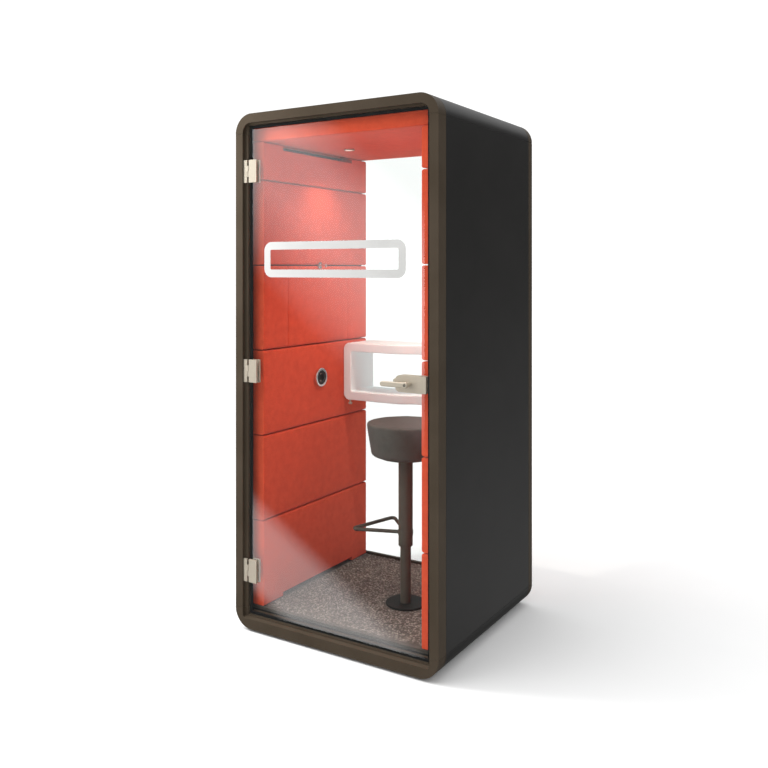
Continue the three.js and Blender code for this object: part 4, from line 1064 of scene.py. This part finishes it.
hook_low, hook_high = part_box("coat_hook")
hook_reach = hook_high.x - hook_low.x
peg = PEG_FOOT + [(radius, hook_reach - back) for radius, back in PEG_HEAD]
coat_hook = turned("coat_hook_peg", peg, (hook_low.x, *middle_of("coat_hook")[1:]), (1, 0, 0), chrome,
                   edge=HOOK_EDGE)
install(coat_hook, "cabin", "polished", "coat_hook")

bag_low, bag_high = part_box("bag_hook")
bag_drop = bag_high.z - bag_low.z
knob = KNOB_HEAD + [(KNOB_NECK, KNOB_NECK_START), (KNOB_NECK, bag_drop), (0.0, bag_drop)]
bag_hook = turned("bag_hook_knob", knob, (*middle_of("bag_hook")[:2], bag_low.z), (0, 0, 1), nickel,
                  edge=HOOK_EDGE)
install(bag_hook, "cabin", "nickel", "bag_hook")
print("hooks", coat_hook.name, bag_hook.name)

# %% [markdown]
# The socket is a bright ring round a dark insert. The insert has a round well with two pin holes and
# an earth clip on either side, as sockets with a round well have.

# %% Socket
WELL_RADIUS = 0.0195
WELL_DEPTH = 0.0075
WELL_TAPER = 0.0006
RING_ROUND = 0.004
RING_CHAMFER = 0.0012
RIM_CHAMFER = 0.001
PIN_RADIUS = 0.0026
PIN_SPACING = 0.019
PIN_LIP = 0.0012
PIN_WALL = 0.0008
PIN_FLOOR = 0.0004
CLIP_PROFILE = [(0.0, 0.0), (0.0028, 0.0), (0.0028, 0.004), (0.0016, 0.0055), (0.0, 0.0055)]
CLIP_INSET = 0.0032
WELL_SEAT = 0.0002
ring_low, ring_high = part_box("socket_ring")
insert_low, insert_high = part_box("socket_insert")
socket_y, socket_z = middle_of("socket_ring")[1:]
ring_radius = (ring_high.z - ring_low.z) / 2
insert_radius = (insert_high.z - insert_low.z) / 2
hole_radius = insert_radius + RUNNING_GAP
ring_depth = ring_high.x - ring_low.x
insert_depth = insert_high.x - insert_low.x

socket_ring = turned("socket_ring_bright", [
    (hole_radius, 0.0),
    (ring_radius, 0.0),
    (ring_radius, ring_depth - RING_ROUND),
    (ring_radius - RING_CHAMFER, ring_depth - RING_CHAMFER),
    (ring_radius - RING_ROUND, ring_depth),
    (hole_radius + RIM_CHAMFER, ring_depth),
    (hole_radius, ring_depth - RIM_CHAMFER),
    (hole_radius, 0.0),
], (ring_low.x, socket_y, socket_z), (1, 0, 0), chrome, edge=0.0003)
install(socket_ring, "cabin", "polished", "socket_ring")

socket_face = turned("socket_face", [
    (0.0, 0.0),
    (insert_radius, 0.0),
    (insert_radius, insert_depth - RIM_CHAMFER),
    (insert_radius - RIM_CHAMFER, insert_depth),
    (WELL_RADIUS, insert_depth),
    (WELL_RADIUS - WELL_TAPER, insert_depth - WELL_DEPTH),
    (0.0, insert_depth - WELL_DEPTH),
], (insert_low.x, socket_y, socket_z), (1, 0, 0), black_plastic, edge=0.0004)
install(socket_face, "cabin", "black_plastic", "socket_insert")

pin_profile = [
    (0.0, 0.0), (PIN_RADIUS, 0.0), (PIN_RADIUS, PIN_LIP), (PIN_RADIUS - PIN_WALL, PIN_LIP),
    (PIN_RADIUS - PIN_WALL, PIN_FLOOR), (0.0, PIN_FLOOR),
]
well_floor = insert_high.x - WELL_DEPTH - WELL_SEAT
for name, side in (("front", -1.0), ("rear", 1.0)):
    pin_place = (well_floor, socket_y + side * PIN_SPACING / 2, socket_z)
    pin = turned(f"socket_pin_{name}", pin_profile, pin_place, (1, 0, 0), black_metal, edge=0.0001,
                 steps=SMALL_TURN_STEPS)
    install(pin, "cabin", "black_metal")
    clip_place = (well_floor, socket_y, socket_z + side * (WELL_RADIUS - CLIP_INSET))
    clip = turned(f"socket_clip_{name}", CLIP_PROFILE, clip_place, (1, 0, 0), nickel, edge=0.0003,
                  steps=SMALL_TURN_STEPS)
    install(clip, "cabin", "nickel")
print("socket", round(socket_y, 4), round(socket_z, 4))

# %% [markdown]
# Two small lamps sit in the ceiling. The ring is metal and the lens glows, so the lens has a finish
# of its own with some emission.

# %% Ceiling lamps
LENS_RADIUS = 0.019
LENS_CLEAR = 0.0004
LENS_SEAT = 0.002
LENS_DEPTH = 0.0035
LENS_PROFILE = [
    (0.0, 0.0006),
    (LENS_RADIUS * 0.6, 0.001),
    (LENS_RADIUS - LENS_CLEAR, LENS_SEAT),
    (LENS_RADIUS - LENS_CLEAR, LENS_DEPTH),
    (0.0, LENS_DEPTH),
]
LAMP_LIP = 0.0015
LAMP_BACK = 0.002

lens_finish, lens_shader = new_finish("lamp_lens", Base_Color=(0.9, 0.88, 0.84, 1.0), Roughness=0.35,
                                      Emission_Color=(1.0, 0.93, 0.82, 1.0), Emission_Strength=0.7)
add_bump(lens_finish, lens_shader, grain(lens_finish, object_place(lens_finish), 900.0), 0.1, PEEL_DEPTH)
for side in ("left", "right"):
    node = f"ceiling_spot_{side}"
    low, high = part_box(node)
    radius, height = (high.x - low.x) / 2, high.z - low.z
    spot_place = (*middle_of(node)[:2], low.z)
    ring = turned(f"{node}_ring", [
        (LENS_RADIUS, LENS_SEAT),
        (LENS_RADIUS + LAMP_LIP, 0.0),
        (radius - LAMP_LIP, 0.0),
        (radius, LAMP_LIP),
        (radius, height),
        (0.0, height),
        (0.0, height - LAMP_BACK),
        (LENS_RADIUS, height - LAMP_BACK),
        (LENS_RADIUS, LENS_SEAT),
    ], spot_place, (0, 0, 1), nickel, edge=0.0003)
    lens = turned(f"{node}_lens", LENS_PROFILE, spot_place, (0, 0, 1), lens_finish, edge=0.0002)
    install(ring, "cabin", "nickel", node)
    install(lens, "cabin", "table_white")
print("ceiling lamps at height", round(low.z, 4))

# %% [markdown]
# Four rubber glides under the base keep it off the floor. They are low turned feet with a chamfer.

# %% Glides
GLIDE_CHAMFER = 0.003
GLIDE_TAPER = 0.002
for node in [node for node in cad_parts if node.startswith("glide_")]:
    low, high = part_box(node)
    radius, height = (high.x - low.x) / 2, high.z - low.z
    glide = turned(f"{node}_foot", [
        (0.0, 0.0), (radius - GLIDE_CHAMFER, 0.0), (radius, GLIDE_CHAMFER), (radius - GLIDE_TAPER, height),
        (0.0, height),
    ], (*middle_of(node)[:2], low.z), (0, 0, 1), rubber)
    install(glide, "cabin", "rubber", node)
print("glides of radius", round(radius, 4))

# %% [markdown]
# The carpet is a loop pile. A grid of small loops, each moved, turned and sized a little at random
# with a fixed seed, stands on a backing. Each loop keeps a tone of its own, which the finish reads to
# mix the dark and pale yarns. The front edge is bound, so no loops stand there.

# %% Carpet
PILE_PITCH = 0.0105
PILE_DEPTH = 0.0035
BOUND_EDGE = 0.028
PILE_MARGIN = 0.002
PILE_SINK = 0.0006
PILE_SEED = 7
PILE_DARK, PILE_PALE = (0.060, 0.048, 0.038), (0.36, 0.31, 0.27)
YARN_SCALE = 1400.0
PATCH_SCALE = 22.0
LOOP_SEGMENTS, LOOP_RINGS = 5, 4
LOOP_SHIFT = ((-0.0040, -0.0040, -0.0010), (0.0040, 0.0040, 0.0004))
LOOP_TURN = ((-0.3, -0.3, -3.1), (0.3, 0.3, 3.1))
LOOP_SIZE = ((0.50, 0.30, 0.20), (0.85, 0.50, 0.27))
LINING_FACE = 0.390


def carpet_finish():
    """Yarns between a dark and a pale tone, as each loop's own attribute says."""
    finish, shader = new_finish("loop_pile", Roughness=0.95, Sheen_Weight=0.2, Specular_IOR_Level=0.1)
    tone = finish.node_tree.nodes.new("ShaderNodeAttribute")
    tone.attribute_name = "yarn_tone"
    place = object_place(finish)
    fibre = grain(finish, place, YARN_SCALE, detail=3.0)
    patch = grain(finish, place, PATCH_SCALE, detail=3.0)
    mixed = average(finish, average(finish, tone.outputs["Fac"], fibre, 0.25), patch, 0.3)
    value = spread(finish, mixed, 0.22, 0.78)
    feed(finish, colour_between(finish, value, PILE_DARK, PILE_PALE), shader, "Base Color")
    add_bump(finish, shader, fibre, 0.6, 0.001)
    return finish


def random_vector(tree, seed, limits):
    """A random vector for each point, between two limits."""
    node = joined(tree, "FunctionNodeRandomValue", {"Seed": seed}, data_type="FLOAT_VECTOR")
    node.inputs["Min"].default_value, node.inputs["Max"].default_value = limits
    return node.outputs["Value"]

def pile_tree():
    """A grid of loops, each moved, turned and sized at random, joined to the backing."""
    tree, given, result = node_tree("loop_pile", [
        ("Width", "Float"), ("Length", "Float"), ("Across", "Int"), ("Along", "Int"), ("Pitch", "Float"),
        ("Place", "Vector"), ("Seed", "Int"), ("Finish", "Material"),
    ])
    grid = joined(tree, "GeometryNodeMeshGrid", {
        "Size X": given.outputs["Width"], "Size Y": given.outputs["Length"],
        "Vertices X": given.outputs["Across"], "Vertices Y": given.outputs["Along"]})
    shift = random_vector(tree, given.outputs["Seed"], LOOP_SHIFT)
    moved = joined(tree, "GeometryNodeSetPosition", {"Geometry": grid.outputs["Mesh"], "Offset": shift})
    loop = joined(tree, "GeometryNodeMeshUVSphere", {"Radius": given.outputs["Pitch"]})
    loop.inputs["Segments"].default_value = LOOP_SEGMENTS
    loop.inputs["Rings"].default_value = LOOP_RINGS
    turn = random_vector(tree, given.outputs["Seed"], LOOP_TURN)
    size = random_vector(tree, given.outputs["Seed"], LOOP_SIZE)
    placed = joined(tree, "GeometryNodeInstanceOnPoints", {
        "Points": moved.outputs["Geometry"], "Instance": loop.outputs["Mesh"], "Rotation": turn,
        "Scale": size})
    tone = joined(tree, "FunctionNodeRandomValue", {"Seed": given.outputs["Seed"]}, data_type="FLOAT")
    noted = joined(tree, "GeometryNodeStoreNamedAttribute", {
        "Geometry": placed.outputs["Instances"], "Value": tone.outputs[1]}, data_type="FLOAT",
        domain="INSTANCE")
    noted.inputs["Name"].default_value = "yarn_tone"
    real = joined(tree, "GeometryNodeRealizeInstances", {"Geometry": noted.outputs["Geometry"]})
    raised = joined(tree, "GeometryNodeTransform", {
        "Geometry": real.outputs["Geometry"], "Translation": given.outputs["Place"]})
    whole = joined(tree, "GeometryNodeJoinGeometry")
    tree.links.new(given.outputs["Geometry"], whole.inputs["Geometry"])
    tree.links.new(raised.outputs["Geometry"], whole.inputs["Geometry"])
    dressed = joined(tree, "GeometryNodeSetMaterial", {
        "Geometry": whole.outputs["Geometry"], "Material": given.outputs["Finish"]})
    tree.links.new(dressed.outputs["Geometry"], result.inputs["Geometry"])
    return tree


def carpet_backing(low, high):
    """The block that carries the loops."""
    work = bmesh.new()
    bmesh.ops.create_cube(work, size=1.0)
    top = high.z - PILE_DEPTH / 2
    for vert in work.verts:
        vert.co = (low.x if vert.co.x < 0 else high.x, low.y if vert.co.y < 0 else high.y,
                   low.z if vert.co.z < 0 else top)
    mesh = bpy.data.meshes.new("carpet_backing")
    work.to_mesh(mesh)
    work.free()
    return mesh


carpet_low, carpet_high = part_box("carpet")
pile_width = 2 * (LINING_FACE - PILE_MARGIN)
pile_front = carpet_low.y + BOUND_EDGE
pile_length = carpet_high.y - PILE_MARGIN - pile_front
pile = carpet_finish()
pile_place = (0.0, pile_front + pile_length / 2, carpet_high.z - PILE_DEPTH / 2 - PILE_SINK)
carpet = with_nodes(
    "carpet_loop_pile", carpet_backing(carpet_low, carpet_high), pile_tree(), pile, Width=pile_width,
    Length=pile_length, Across=round(pile_width / PILE_PITCH), Along=round(pile_length / PILE_PITCH),
    Pitch=PILE_PITCH, Place=pile_place, Seed=PILE_SEED)
install(carpet, "cabin", "carpet", "carpet")
print("carpet triangles", sum(len(face.vertices) - 2 for face in carpet.data.polygons))

# %% [markdown]
# The stage is a pale floor that runs to the horizon. A curved backdrop would do as well, but a plain
# sheet keeps the shadow simple, and where it is fully lit it is as white as the sky. It isn't mirrored
# in the glass.

# %% Floor
FLOOR_REACH = 60.0
FLOOR_GLOW = 0.03
FLOOR_TONE_SCALE = 3.0
FLOOR_CORNERS = ((-1, -1), (1, -1), (1, 1), (-1, 1))
floor_points = [(x * FLOOR_REACH, y * FLOOR_REACH, 0.0) for x, y in FLOOR_CORNERS]
floor_mesh = bpy.data.meshes.new("floor")
floor_mesh.from_pydata(floor_points, [], [(0, 1, 2, 3)])
floor_finish, floor_shader = new_finish("pale_floor", Roughness=0.8, Specular_IOR_Level=0.0,
                                        Emission_Color=(1.0, 1.0, 1.0, 1.0), Emission_Strength=FLOOR_GLOW)
floor_tone = grain(floor_finish, object_place(floor_finish), FLOOR_TONE_SCALE, detail=2.0)
feed(floor_finish, colour_between(floor_finish, floor_tone, (0.76, 0.76, 0.76), (0.78, 0.78, 0.78)),
     floor_shader, "Base Color")
floor = add_piece("floor", floor_mesh, floor_finish)
floor.visible_glossy = False
print("floor", 2 * FLOOR_REACH, "metres wide")

# %% [markdown]
# The light. The sky is seen white, but it lights the pod more weakly and is mirrored more weakly still,
# because a white studio would wash out the glass and the dark shell. A soft lamp high on the left makes
# the shadow, a wider one overhead fills it, a tall lamp at the left lights the front edges, and a beam
# hangs under each ceiling lamp.

# %% Light
SKY_SEEN = 1.12
SKY_LIGHT = 0.42
SKY_MIRRORED = 0.14
LAMPS_ABOVE = (("key_lamp", (-0.40, -0.38, 0.83), 46.0, 1.3), ("top_lamp", (0.0, 0.0, 1.0), 140.0, 2.2))
FRONT_LAMP_PLACE = (-1.35, -1.05, 2.00)
FRONT_LAMP_AIM = (-0.30, -0.40, 1.15)
FRONT_LAMP_SIZE = (0.5, 2.2)
FRONT_LAMP_POWER = 38.0
ROOM_LAMP_CONE = 118.0
ROOM_LAMP_COLOUR = (1.0, 0.92, 0.82)
ROOM_LAMP_HEIGHT = 2.100
ROOM_LAMP_RADIUS = 0.02
ROOM_LAMPS = (("left", -0.222, 7.5), ("right", 0.222, 27.0))

world = bpy.data.worlds.new("white_sky")
scene.world = world
world.use_nodes = True
sky = world.node_tree.nodes["Background"]
sky.inputs["Color"].default_value = (1.0, 1.0, 1.0, 1.0)
ray = world.node_tree.nodes.new("ShaderNodeLightPath")
level = world.node_tree.nodes.new("ShaderNodeMapRange")
level.inputs["To Min"].default_value = SKY_LIGHT
level.inputs["To Max"].default_value = SKY_SEEN
mirrored = world.node_tree.nodes.new("ShaderNodeMix")
mirrored.inputs["B"].default_value = SKY_MIRRORED
world.node_tree.links.new(ray.outputs["Is Camera Ray"], level.inputs["Value"])
world.node_tree.links.new(ray.outputs["Is Glossy Ray"], mirrored.inputs["Factor"])
world.node_tree.links.new(level.outputs["Result"], mirrored.inputs["A"])
world.node_tree.links.new(mirrored.outputs["Result"], sky.inputs["Strength"])

for name, place, softness, strength in LAMPS_ABOVE:
    sun = bpy.data.lights.new(name, "SUN")
    sun.energy = strength
    sun.angle = math.radians(softness)
    lamp_above = bpy.data.objects.new(name, sun)
    lamp_above.rotation_euler = Vector(place).to_track_quat("Z", "Y").to_euler()
    scene.collection.objects.link(lamp_above)

strip = bpy.data.lights.new("front_lamp", "AREA")
strip.shape = "RECTANGLE"
strip.size, strip.size_y = FRONT_LAMP_SIZE
strip.energy = FRONT_LAMP_POWER
front_lamp = bpy.data.objects.new("front_lamp", strip)
front_lamp.location = FRONT_LAMP_PLACE
front_lamp_way = Vector(FRONT_LAMP_AIM) - Vector(FRONT_LAMP_PLACE)
front_lamp.rotation_euler = front_lamp_way.to_track_quat("-Z", "Y").to_euler()
front_lamp.visible_glossy = False
front_lamp.visible_camera = False
scene.collection.objects.link(front_lamp)

for side, place, power in ROOM_LAMPS:
    lamp = bpy.data.lights.new(f"ceiling_beam_{side}", "SPOT")
    lamp.energy = power
    lamp.color = ROOM_LAMP_COLOUR
    lamp.spot_size = math.radians(ROOM_LAMP_CONE)
    lamp.spot_blend = 1.0
    lamp.shadow_soft_size = ROOM_LAMP_RADIUS
    beam = bpy.data.objects.new(lamp.name, lamp)
    beam.location = (place, bay_middle, ROOM_LAMP_HEIGHT)
    scene.collection.objects.link(beam)

# %% [markdown]
# The glass of the door shows two slanting bands of haze, the reflections of long cards in the studio.
# A card is placed by mirroring the camera in the door: the line from that mirror image through a point
# of the glass goes on to the place where the card has to stand. The cards are only seen in
# reflections, and their long edges fade out. One more card, behind the pod on its right, gives the side
# panel its soft sheen.

# %% Reflection cards
CARD_DISTANCE_SHARE = 2.05
CARD_STRENGTH = 3.1
UPPER_SLANT, UPPER_FROM, UPPER_TO = 0.82, (1.20, 1.64), (2.18, 1.93)
LOWER_SLANT, LOWER_FROM, LOWER_TO = 0.60, (-0.09, -0.02), (0.36, 0.26)
LOWER_SHARE = 0.8
SCREEN_STEP = 0.016
SCREEN_IN_LEFT, SCREEN_IN_RIGHT, SCREEN_IN_ENDS = 0.012, 0.006, 0.004
BEHIND_CORNERS = [(3.0, 9.0, -4.0), (9.0, 3.0, -4.0), (9.0, 3.0, 2.2), (3.0, 9.0, 2.2)]
BEHIND_TONES = [1.0, 1.0, 0.0, 0.0]
BEHIND_STRENGTH = 0.75
door_face = door_low.y
CAMERA_MIRRORED = Vector((CAMERA_PLACE[0], 2 * door_face - CAMERA_PLACE[1], CAMERA_PLACE[2]))


def behind_mirror(x, z):
    """The point of the card that a point of the door reflects."""
    on_glass = Vector((x, door_face, z))
    return CAMERA_MIRRORED + CARD_DISTANCE_SHARE * (on_glass - CAMERA_MIRRORED)


def card_finish(strength):
    """A glow that fades where the card's own attribute says."""
    finish = bpy.data.materials.new("studio_card")
    finish.use_nodes = True
    nodes, links = finish.node_tree.nodes, finish.node_tree.links
    nodes.remove(nodes["Principled BSDF"])
    glow = nodes.new("ShaderNodeEmission")
    glow.inputs["Strength"].default_value = strength
    nothing = nodes.new("ShaderNodeBsdfTransparent")
    fade = nodes.new("ShaderNodeAttribute")
    fade.attribute_name = "card_fade"
    mix = nodes.new("ShaderNodeMixShader")
    links.new(fade.outputs["Fac"], mix.inputs["Fac"])
    links.new(nothing.outputs["BSDF"], mix.inputs[1])
    links.new(glow.outputs["Emission"], mix.inputs[2])
    links.new(mix.outputs["Shader"], nodes["Material Output"].inputs["Surface"])
    return finish


def only_in_reflections(card):
    """Hides a card from all but mirrored rays."""
    for kind in ("camera", "diffuse", "transmission", "shadow", "volume_scatter"):
        setattr(card, f"visible_{kind}", False)
    return card


def ramp(value, start, end):
    """From 0 at the start to 1 at the end, and level beyond them."""
    return min(1.0, max(0.0, (value - start) / (end - start)))


def haze(x, z):
    """Strength of the two slanting cards as the door shows them at x, z."""
    upper = z + UPPER_SLANT * x
    lower = z + LOWER_SLANT * x
    first = ramp(upper, *UPPER_FROM) * ramp(upper, *UPPER_TO)
    second = ramp(lower, *LOWER_TO) * ramp(lower, *LOWER_FROM)
    return max(first, LOWER_SHARE * second)


def reflection_screen(name, strength):
    """A sheet that the whole door reflects, with the two cards on it."""
    across = np.arange(STOP_LEFT + SCREEN_IN_LEFT, STOP_RIGHT - SCREEN_IN_RIGHT, SCREEN_STEP)
    up = np.arange(STOP_LOW + SCREEN_IN_ENDS, STOP_HIGH - SCREEN_IN_ENDS, SCREEN_STEP)
    points = [behind_mirror(x, z) for z in up for x in across]
    tones = [haze(x, z) for z in up for x in across]
    width = len(across)
    corners = [row * width + column for row in range(len(up) - 1) for column in range(width - 1)]
    mesh = bpy.data.meshes.new(name)
    mesh.from_pydata(points, [], [(i, i + 1, i + 1 + width, i + width) for i in corners])
    fade = mesh.attributes.new("card_fade", "FLOAT", "POINT")
    fade.data.foreach_set("value", tones)
    return only_in_reflections(add_piece(name, mesh, card_finish(strength)))


reflection_screen("door_cards", CARD_STRENGTH)


def plain_card(name, corners, tones, strength):
    """A four-cornered card; tones give its strength at each corner."""
    mesh = bpy.data.meshes.new(name)
    mesh.from_pydata(corners, [], [(0, 1, 2, 3)])
    fade = mesh.attributes.new("card_fade", "FLOAT", "POINT")
    fade.data.foreach_set("value", tones)
    return only_in_reflections(add_piece(name, mesh, card_finish(strength)))


plain_card("card_behind", BEHIND_CORNERS, BEHIND_TONES, BEHIND_STRENGTH)
print("cards behind the camera's mirror image at", [round(v, 3) for v in CAMERA_MIRRORED])
